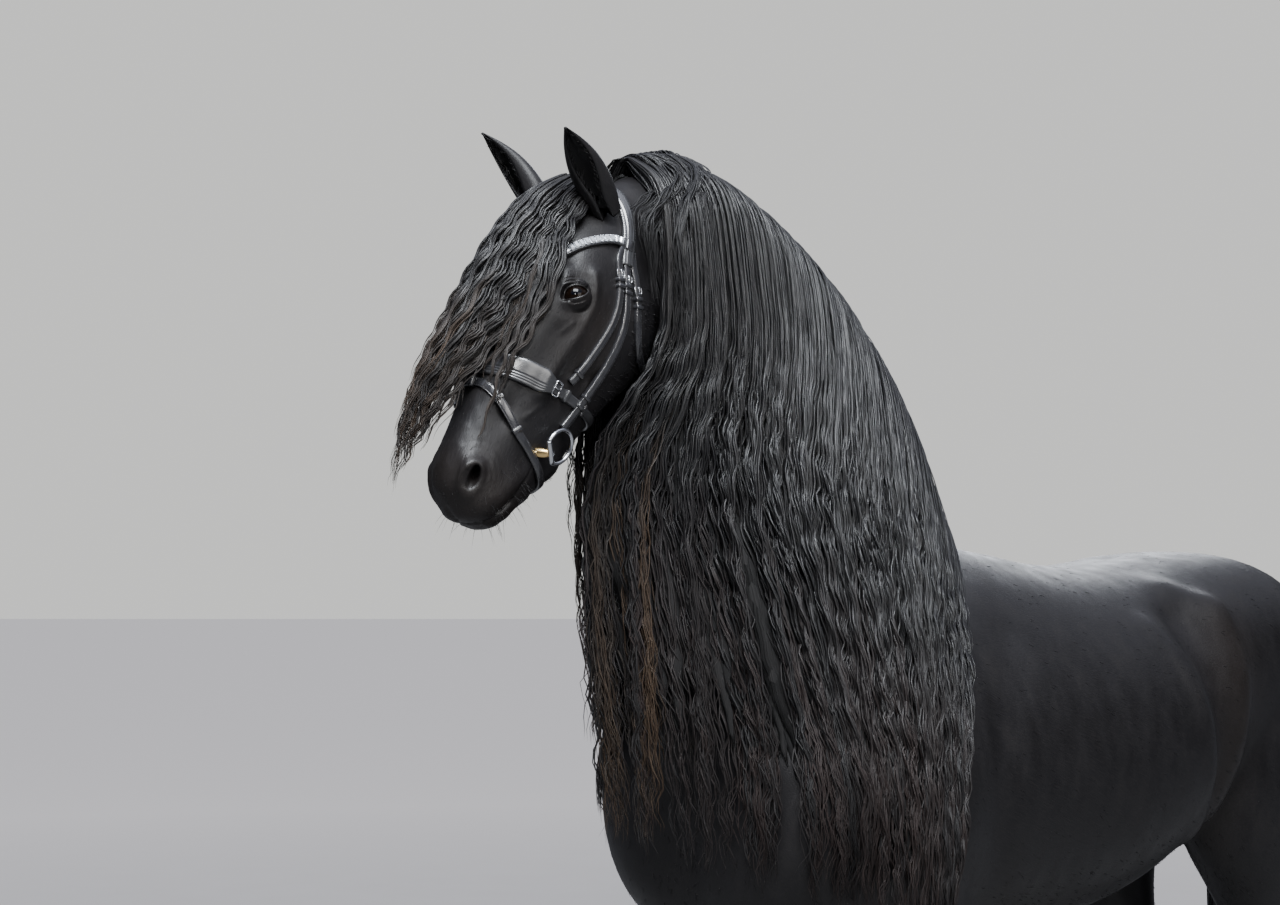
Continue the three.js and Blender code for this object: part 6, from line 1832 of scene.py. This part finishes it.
def coat_tufts(skin_ob, mat):
    def body_w(c, n):
        f, z = -c[:, 1], c[:, 2]
        return ((f < 690) & (z > 600)).astype(float)
    def edge_w(c, n):
        """Belly line, elbow, flank fold, breast, buttock and the inside of the thighs."""
        f, z, x = -c[:, 1], c[:, 2], np.abs(c[:, 0])
        B = np.stack([x, f, z], 1)
        w = smooth((-n[:, 2] - 0.35) / 0.4) * (z > 780) * (f < 640)
        w = w + 2.0 * ridge(B, [(200, 40, 930), (150, 0, 880)], 60, 1)
        w = w + 1.5 * ridge(B, [(290, -640, 1100), (240, -650, 1020)], 60, 1)
        w = w + 1.2 * ridge(B, [(0, 640, 1240), (0, 600, 1000), (0, 520, 930)], 60, 1)
        w = w + 1.0 * ridge(B, [(150, -1180, 1350), (170, -1120, 1000), (150, -1060, 860)], 60, 1)
        return w
    def jaw_w(c, n):
        f, z = -c[:, 1], c[:, 2]
        S, T, X = to_st(c)
        head = (f > 690) & (z > 1480)
        w = head * (smooth((-T - 60) / 60) * (S > 60) * (S < 520) * 1.0)
        return w + 0.8 * ((f > 560) & (f < 720) & (z > 1780) & (z < 1960) & (n[:, 2] < 0.1))
    def face_w(c, n):
        f, z = -c[:, 1], c[:, 2]
        S, T, X = to_st(c)
        d = np.minimum(np.linalg.norm(c - EYE_C[1], axis=1), np.linalg.norm(c - EYE_C[-1], axis=1))
        H = np.stack([S, T, np.abs(X)], 1)
        hole = np.linalg.norm(H - np.array([556, 46, 52.0]), axis=1)
        return ((f > 690) & (z > 1480) & (S > 30)).astype(float) * smooth((d - 34) / 10) * smooth((hole - 26) / 8)
    def leg_w(c, n):
        f, z = -c[:, 1], c[:, 2]
        q = 0.4 + 2.2 * (n[:, 1] > 0.3) + 1.2 * (np.abs(z - 500) < 90) * (n[:, 1] > 0)
        return ((z < 660) & (z > 150)) * q
    sets = [("coat_body", body_w, 3000, 17, 0.2, 0.55, 71, 4), ("coat_edges", edge_w, 3000, 20, 1.3, 0.7, 72, 4),
            ("coat_jaw", jaw_w, 1100, 15, 1.9, 0.7, 73, 4), ("coat_face", face_w, 1800, 9.5, 0.2, 0.5, 74, 3),
            ("coat_legs", leg_w, 2200, 13, 1.1, 0.65, 75, 4)]
    for name, w, count, ln, lean, half, seed, M in sets:
        P, N, rng = surface_sample(skin_ob, count, w, seed)
        C, W, T, B = tuft_paths(P, N, rng, ln, lean, half, M)
        hair_piece(name, C, W, T, B, mat, skin_uv(P), rng.random(count) * 0.7, rng.random(count) * 0.3, 3)


def ear_hair(mat):
    """Soft hair along the rims and from inside each ear."""
    for side, tag in ((1, "left"), (-1, "right")):
        rng = np.random.default_rng(81 + side)
        n = 230
        k = 0.10 + 0.78 * rng.random(n) ** 0.9
        edge = rng.random(n) < 0.55
        s = np.where(rng.random(n) < 0.5, 1, -1)
        half = cr(np.array([[2.2], [2.35], [2.1], [1.85], [1.7], [1.6]]), k * 5)[:, 0] * 0.5 * math.pi / 1.57
        open_ = math.pi - np.minimum(half + 0.55, 2.9)
        phi = np.where(edge, s * (open_ + 0.10 * rng.random(n)), s * (open_ + 0.3 + 1.6 * rng.random(n)))
        P = ear_points(side, k, phi, 4.5)
        up, front, across = ear_axes(side)
        mid = ear_points(side, k, phi * 0 + math.pi, 4.5) * 0.5 + ear_points(side, k, phi * 0, 4.5) * 0.5
        inw = unit(mid - P)
        D = unit(up * 0.95 + front * 0.25 + inw * 0.42 + 0.16 * rng.normal(size=(n, 3)))
        D = np.where(edge[:, None], unit(up * 0.8 + front * 0.18 + inw * (0.75 * rng.random(n)[:, None]) + 0.12 * rng.normal(size=(n, 3))), D)
        ln = np.where(edge, 15, 30) * rng.uniform(0.7, 1.2, n) * (1 - 0.45 * k)
        t = np.linspace(0, 1, 6)
        C = P[:, None] + D[:, None] * (ln[:, None] * t[None])[..., None] + inw[:, None] * (2.0 * np.sin(t * 3.1))[None, :, None]
        C = posed(C)
        W = rng.uniform(0.6, 1.1, n)[:, None] * np.clip((1 - t) / 0.7, 0, 1)[None] ** 0.7
        B = posed(P + inw * -5) - posed(P)
        B = np.repeat(unit(B)[:, None], 6, 1)
        uv = np.stack([0.1 + 0.8 * k, 0.5 + 0.12 * phi], 1)
        hair_piece("ear_hair_" + tag, C, W, W * 0.45, B, mat, np.clip(uv, 0.01, 0.99), rng.random(n), rng.random(n) * 0.6, 3)


def lashes_and_whiskers(mat):
    rng = np.random.default_rng(91)
    Cs, Ws, Bs, uvs = [], [], [], []
    for side in (1, -1):
        c = EYE_C[side]
        ax, al, up = eye_frame(side)
        th = np.linspace(0.35, math.pi - 0.25, 46) + rng.normal(0, 0.02, 46)
        a, b = lid_edge(th)
        h = np.sqrt(np.maximum((EYE_R + 2.2) ** 2 - a * a - b * b, 4))
        P = c + a[:, None] * al + b[:, None] * up + h[:, None] * ax
        t = np.linspace(0, 1, 8)
        ln = rng.uniform(11, 19, 46)
        D0 = unit(ax * 1.0 + up * 0.15 + al * (0.02 * a)[:, None])
        C = P[:, None] + D0[:, None] * (ln[:, None] * t[None])[..., None] + (up * 0.35 - np.array([0, 0, 0.45]))[None, None] * (ln[:, None] * (t ** 2)[None])[..., None] * 0.8
        Cs.append(C)
        Ws.append(np.repeat((0.42 * np.clip((1 - t) / 0.8, 0, 1) ** 0.7)[None], 46, 0))
        Bs.append(np.broadcast_to(up, C.shape))
        uvs.append(np.stack([0.2 + 0.3 * th / 3.2, np.full(46, 0.3 if side > 0 else 0.7)], 1))
        # long feelers on the lips, chin and below the eye
        n = 46
        S = rng.uniform(500, 600, n)
        T = rng.uniform(-70, 10, n)
        X = side * rng.uniform(5, 52, n)
        Q = on_head(X, S, T)
        W = world(Q)
        pts, nor = [], []
        for q in W:
            loc, nr, _, _ = TREE.find_nearest(q.tolist(), 0.2)
            pts.append(np.array(loc[:]) * 1000)
            nor.append(np.array(nr[:]))
        pts = np.array(pts)
        pts[:, 1] -= OFF_Y
        nor = np.array(nor)
        ln = rng.uniform(16, 34, n)
        D = unit(nor + posed_dir(np.array([[0.0, 0.35, -0.05]]))[0] + 0.2 * rng.normal(size=(n, 3)))
        C = pts[:, None] - nor[:, None] * 1.0 + D[:, None] * (ln[:, None] * t[None])[..., None] - np.array([0, 0, 1.0]) * (0.22 * ln[:, None] * (t ** 2)[None])[..., None]
        Cs.append(C)
        Ws.append(np.repeat((0.30 * np.clip((1 - t) / 0.9, 0, 1) ** 0.6)[None], n, 0))
        Bs.append(np.broadcast_to(nor[:, None], C.shape))
        uvs.append(np.stack([0.66 + 0.3 * (S - 480) / 130, 0.5 + 0.3 * X / 60], 1))
    C, W, B, uv = np.concatenate(Cs), np.concatenate(Ws), np.concatenate(Bs), np.concatenate(uvs)
    hair_piece("lashes_and_feelers", C, W, W, B, mat, np.clip(uv, 0.01, 0.99), rng.random(len(C)) * 0.3, rng.random(len(C)) * 0.2, 3)


# ---------------------------------------------------------------- stage, view
def stage_and_camera():
    me = bpy.data.meshes.new("floor")
    bm = bmesh.new()
    bmesh.ops.create_grid(bm, x_segments=1, y_segments=1, size=600)
    bm.to_mesh(me)
    bm.free()
    fl = bpy.data.objects.new("floor", me)
    bpy.context.scene.collection.objects.link(fl)
    m, nt, bs = new_mat("pale_floor")
    g = NT(nt)
    here = g("TexCoord").outputs["Object"]
    nz = g.noise(here, 3.0, 4.0)
    near = g.ramp(nz, [(0.3, (0.44, 0.435, 0.425)), (0.7, (0.48, 0.475, 0.465))])
    xyz = g("SeparateXYZ")
    g.link(here, xyz.inputs[0])
    r2 = g.math("ADD", g.math("MULTIPLY", xyz.outputs[0], xyz.outputs[0]), g.math("MULTIPLY", xyz.outputs[1], xyz.outputs[1]))
    # the floor's colour grows much paler and warmer beyond 2.5 m from the middle: painted light for the far floor,
    # which the lamps hardly reach
    far = g.math("MULTIPLY", g.math("SUBTRACT", g.math("POWER", r2, 0.5), 2.5), 0.10, clamp=True)
    # the floor looks pale, but it throws little light back up at the dark coat
    g.link(g.mix(g("LightPath").outputs["Is Camera Ray"], (0.20, 0.198, 0.195), g.mix(far, near, (0.93, 0.88, 0.79))), bs.inputs["Base Color"])
    bs.inputs["Roughness"].default_value = 0.85
    bs.inputs["Specular IOR Level"].default_value = 0.2
    me.materials.append(m)

    w = bpy.data.worlds.new("studio")
    bpy.context.scene.world = w
    w.use_nodes = True
    bg = w.node_tree.nodes["Background"]
    wn = NT(w.node_tree)
    direction = wn("TexCoord").outputs["Generated"]
    xyz = wn("SeparateXYZ")
    wn.link(direction, xyz.inputs[0])
    # a studio room: a soft bright ceiling and dim walls light the object in front of a plain pale backdrop
    up = wn.math("MULTIPLY", wn.math("SUBTRACT", xyz.outputs[2], 0.30), 1.7, clamp=True)
    room = wn.ramp(up, [(0.0, (0.085, 0.085, 0.088)), (1.0, (1.36, 1.42, 1.68))])
    pale = wn.mix(wn("LightPath").outputs["Is Camera Ray"], room, (1.02, 1.02, 1.0))
    wn.link(pale, bg.inputs[0])
    bg.inputs[1].default_value = 0.80

    def area(name, loc, target, size, power, color=(1, 1, 1)):
        li = bpy.data.lights.new(name, "AREA")
        li.shape = "RECTANGLE"
        li.size, li.size_y = size
        li.energy = power
        li.color = color
        ob = bpy.data.objects.new(name, li)
        bpy.context.scene.collection.objects.link(ob)
        ob.location = loc
        ob.rotation_euler = (Vector(target) - Vector(loc)).to_track_quat("-Z", "Y").to_euler()
        return ob
    area("key_overhead", (1.9, -2.3, 5.0), (0.1, -0.45, 1.5), (2.2, 1.6), 460, (0.92, 0.96, 1.0))
    area("side_soft", (4.2, -1.2, 3.0), (0, -0.2, 1.2), (2.4, 2.4), 78, (1.0, 0.985, 0.96))
    area("rim_back", (-2.6, 3.4, 3.6), (0, 0, 1.4), (3.0, 2.5), 140, (0.90, 0.94, 1.0))
    area("front_fill", (-1.5, -5.0, 2.2), (0, -0.6, 1.5), (2.0, 2.0), 15, (0.97, 0.98, 1.0))

    area("catch_light", (3.0, -3.6, 3.3), (0.1, -0.9, 1.95), (0.35, 0.35), 48, (1.0, 0.99, 0.97))

    cam = bpy.data.cameras.new("camera")
    cam.lens, cam.sensor_width, cam.sensor_fit = 63.0, 36.0, "HORIZONTAL"
    cam.clip_end = 200
    ob = bpy.data.objects.new("camera", cam)
    bpy.context.scene.collection.objects.link(ob)
    az, pitch = math.radians(44), math.radians(3.8216)
    d = Vector((-math.sin(az) * math.cos(pitch), math.cos(az) * math.cos(pitch), math.sin(pitch)))
    ob.location = (2.5507, -3.3755 + OFF_Y / 1000, 1.500)
    ob.rotation_euler = d.to_track_quat("-Z", "Y").to_euler()
    bpy.context.scene.camera = ob


# ------------------------------------------------------------------- assembly
COATMAT = coat_material()
me, V, E, n, relax, put = build_skin()
V = open_eyes(V)
put(V)
me.polygons.foreach_set("use_smooth", np.ones(len(me.polygons), bool))
skin_attributes(me, V)
skin = bpy.data.objects.new("skin", me)
bpy.context.scene.collection.objects.link(skin)
FLESH = ["head", "neck", "trunk", "foreleg_left", "foreleg_right", "hindleg_left", "hindleg_right"]
finish_piece(skin, COATMAT, FLESH)
for side, tag in ((1, "left"), (-1, "right")):
    (V1, Q1, T1), (th, ph) = eyeball(side)
    ob = solid_obj("eyeball_" + tag, [(V1, Q1, T1)])
    # eye attribute: distance from the middle, angle, pupil shape
    ax, al, up = eye_frame(side)
    q = unit(V1 - EYE_C[side])
    a, b, h = q @ al, q @ up, q @ ax
    rad = np.arccos(np.clip(h, -1, 1)) / 1.25
    pup = np.sqrt((a / 0.42) ** 2 + (b / 0.20) ** 2) * 0.5 + np.where(h < 0, 5, 0)
    ang = np.arctan2(b, a) / (2 * math.pi) + 0.5
    arr = np.stack([rad, ang, np.clip(pup, 0, 1), np.ones_like(rad)], 1).astype(np.float32)
    ob.data.color_attributes.new("eye", "FLOAT_COLOR", "POINT").data.foreach_set("color", arr.ravel())
    if side == 1:
        EYEMAT = eye_material()
        LIDMAT = simple_material("lid_rim", (0.0075, 0.0062, 0.0062), 0.36, spec=0.45, scale=500, bump=0.2)
    finish_piece(ob, EYEMAT, ["eye_" + tag])
    lid = solid_obj("lid_rim_" + tag, [lid_margins(side)])
    finish_piece(lid, LIDMAT)
    ear = solid_obj("ear_shell_" + tag, [ear_parts(side)])
    finish_piece(ear, COATMAT, ["ear_" + tag])
HORN = hoof_material()
for key in LEGS:
    ob = solid_obj("hoof_wall_" + key, [hoof_parts(key)])
    finish_piece(ob, HORN, ["hoof_" + key])

def skin_tree(ob):
    m = ob.data
    vs = np.empty(len(m.vertices) * 3, np.float32)
    m.vertices.foreach_get("co", vs)
    return BVHTree.FromPolygons(vs.reshape(-1, 3).tolist(), [tuple(p.vertices) for p in m.polygons], epsilon=0.0)


TREE = skin_tree(skin)
MANE_MAT = hair_material("mane_hair", (0.0028, 0.0027, 0.0033), (0.0105, 0.0103, 0.0124), (0.022, 0.0098, 0.0072), 0.55)
# forelock tips: partly the hair's own reddish brown, partly a painted backlit glow
FORE_MAT = hair_material("forelock_hair", (0.0036, 0.0033, 0.0037), (0.0120, 0.0108, 0.0110), (0.062, 0.036, 0.019), 0.55)
FEATH_MAT = hair_material("feather_hair", (0.0042, 0.0040, 0.0045), (0.0095, 0.0090, 0.0094), (0.030, 0.020, 0.015), 0.5)
# wisp tips: partly the hair's own reddish brown, partly a painted backlit glow
WISP_MAT = hair_material("mane_wisps", (0.0036, 0.0032, 0.0036), (0.0115, 0.0098, 0.0096), (0.080, 0.046, 0.022), 0.60)
arr = curtain(MANE_NEAR, 1, 78, 126, 11, 66, 11, TREE, (0.93, 1.0), (1.4, 2.9), (0.0, 0.40), (4.2, 8.0))
split_pieces("mane_near_strands", arr, 300, MANE_MAT, 3, ["mane_near"])
# the front face of the curtain, with wisps that swing forward; then its back face and the tuft behind the crown
arr = curtain(MANE_NEAR, 1, 78, 24, 11, 66, 14, TREE, (0.84, 1.0), (1.2, 2.3), (0.0, 1.0), (3.4, 6.4), 3.0, (0.010, 0.075), (-26, 2))
split_pieces("mane_near_front", arr, 400, WISP_MAT, 3)
arr = curtain(MANE_NEAR, 1, 78, 8, 10, 56, 15, TREE, (0.86, 1.0), (1.8, 2.9), (0.1, 1.0), (3.0, 5.0), 3.0, (0.975, 1.0))
split_pieces("mane_near_back", arr, 400, MANE_MAT, 3)
arr = curtain(MANE_CROWN, 1, 40, 22, 10, 34, 16, TREE, (0.40, 0.85), (1.1, 2.1), (-0.10, 0.30), (2.6, 5.0), 0.0, (0.035, 0.20), (-34, -8), 0.10)
bow = np.sin(np.pi * np.clip((arr[0][:, 2, 1].max() - arr[0][:, 2, 1]) * -1 / np.ptp(arr[0][:, 2, 1]) + 1, 0, 1))
arr[0][:, 2:9, 2] += (9.0 * bow)[:, None] * np.sin(np.linspace(0.25, np.pi, 7))[None]
arr[0][:, 0, 2] -= 40
arr[0][:, 1, 2] -= 24
arr[0][:, 2, 2] -= 6
split_pieces("mane_crown_tuft", arr[:6] + (arr[6] * 0.0,), 400, MANE_MAT, 3)
arr = curtain(MANE_OFF, -1, 60, 20, 9, 60, 23, TREE, (0.80, 1.0), (1.2, 2.3), (0.0, 1.0), (3.4, 6.4), 3.0, (0.0, 0.09), (-8, 66))
split_pieces("mane_off_front", arr, 400, WISP_MAT, 3)
# the layers under the strands get a much darker copy of the hair: painted shade for the hair deep inside the mane
UNDER_SHADE_MAT = hair_material("mane_under_shaded", (0.0014, 0.0013, 0.0015), (0.0040, 0.0037, 0.0042), (0.0050, 0.0032, 0.0028), 0.6, 0.62)
arr = ribbons(MANE_NEAR, 1, 78, 42, 46, 12, TREE, 0.88, 0.86, 0.05)
split_pieces("mane_near_under", arr, 400, UNDER_SHADE_MAT, 4)
arr = ribbons(MANE_NEAR, 1, 78, 84, 50, 13, TREE, 0.62, 0.90, 0.055, 0.012)
split_pieces("mane_near_sheet", arr, 400, UNDER_SHADE_MAT, 4)
arr = curtain(MANE_OFF, -1, 60, 43, 9, 54, 21, TREE, (0.82, 1.0), (1.7, 2.9), (0.02, 0.6), (3.4, 6.4))
split_pieces("mane_off_strands", arr, 300, MANE_MAT, 3, ["mane_off"])
arr = ribbons(MANE_OFF, -1, 60, 22, 48, 22, TREE, 0.80)
split_pieces("mane_off_under", arr, 400, UNDER_SHADE_MAT, 4)
arr = forelock_paths(42, 9, 50, 31, TREE)
split_pieces("forelock_strands", arr, 500, FORE_MAT, 3, ["forelock"])
arr = face_lock_paths(30, 9, 48, 35)
split_pieces("forelock_face", arr, 500, FORE_MAT, 3)
arr = tail_paths(42, 9, 40, 41, TREE)
split_pieces("tail_strands", arr, 500, MANE_MAT, 3, ["tail"])
for i, key in enumerate(LEGS):
    arr = feather_paths(key, 420, 12, 51 + i)
    split_pieces("feather_strands_" + key, arr, 2000, FEATH_MAT, 3, ["feather_" + key])
make_bridle()
TUFT_MAT = hair_material("coat_tufts", (0.0048, 0.0045, 0.0052), (0.0110, 0.0104, 0.0112), (0.020, 0.0150, 0.0120), 0.4, 0.40)
coat_tufts(skin, COATMAT)
ear_hair(TUFT_MAT)
lashes_and_whiskers(TUFT_MAT)


stage_and_camera()
bpy.context.view_layer.update()
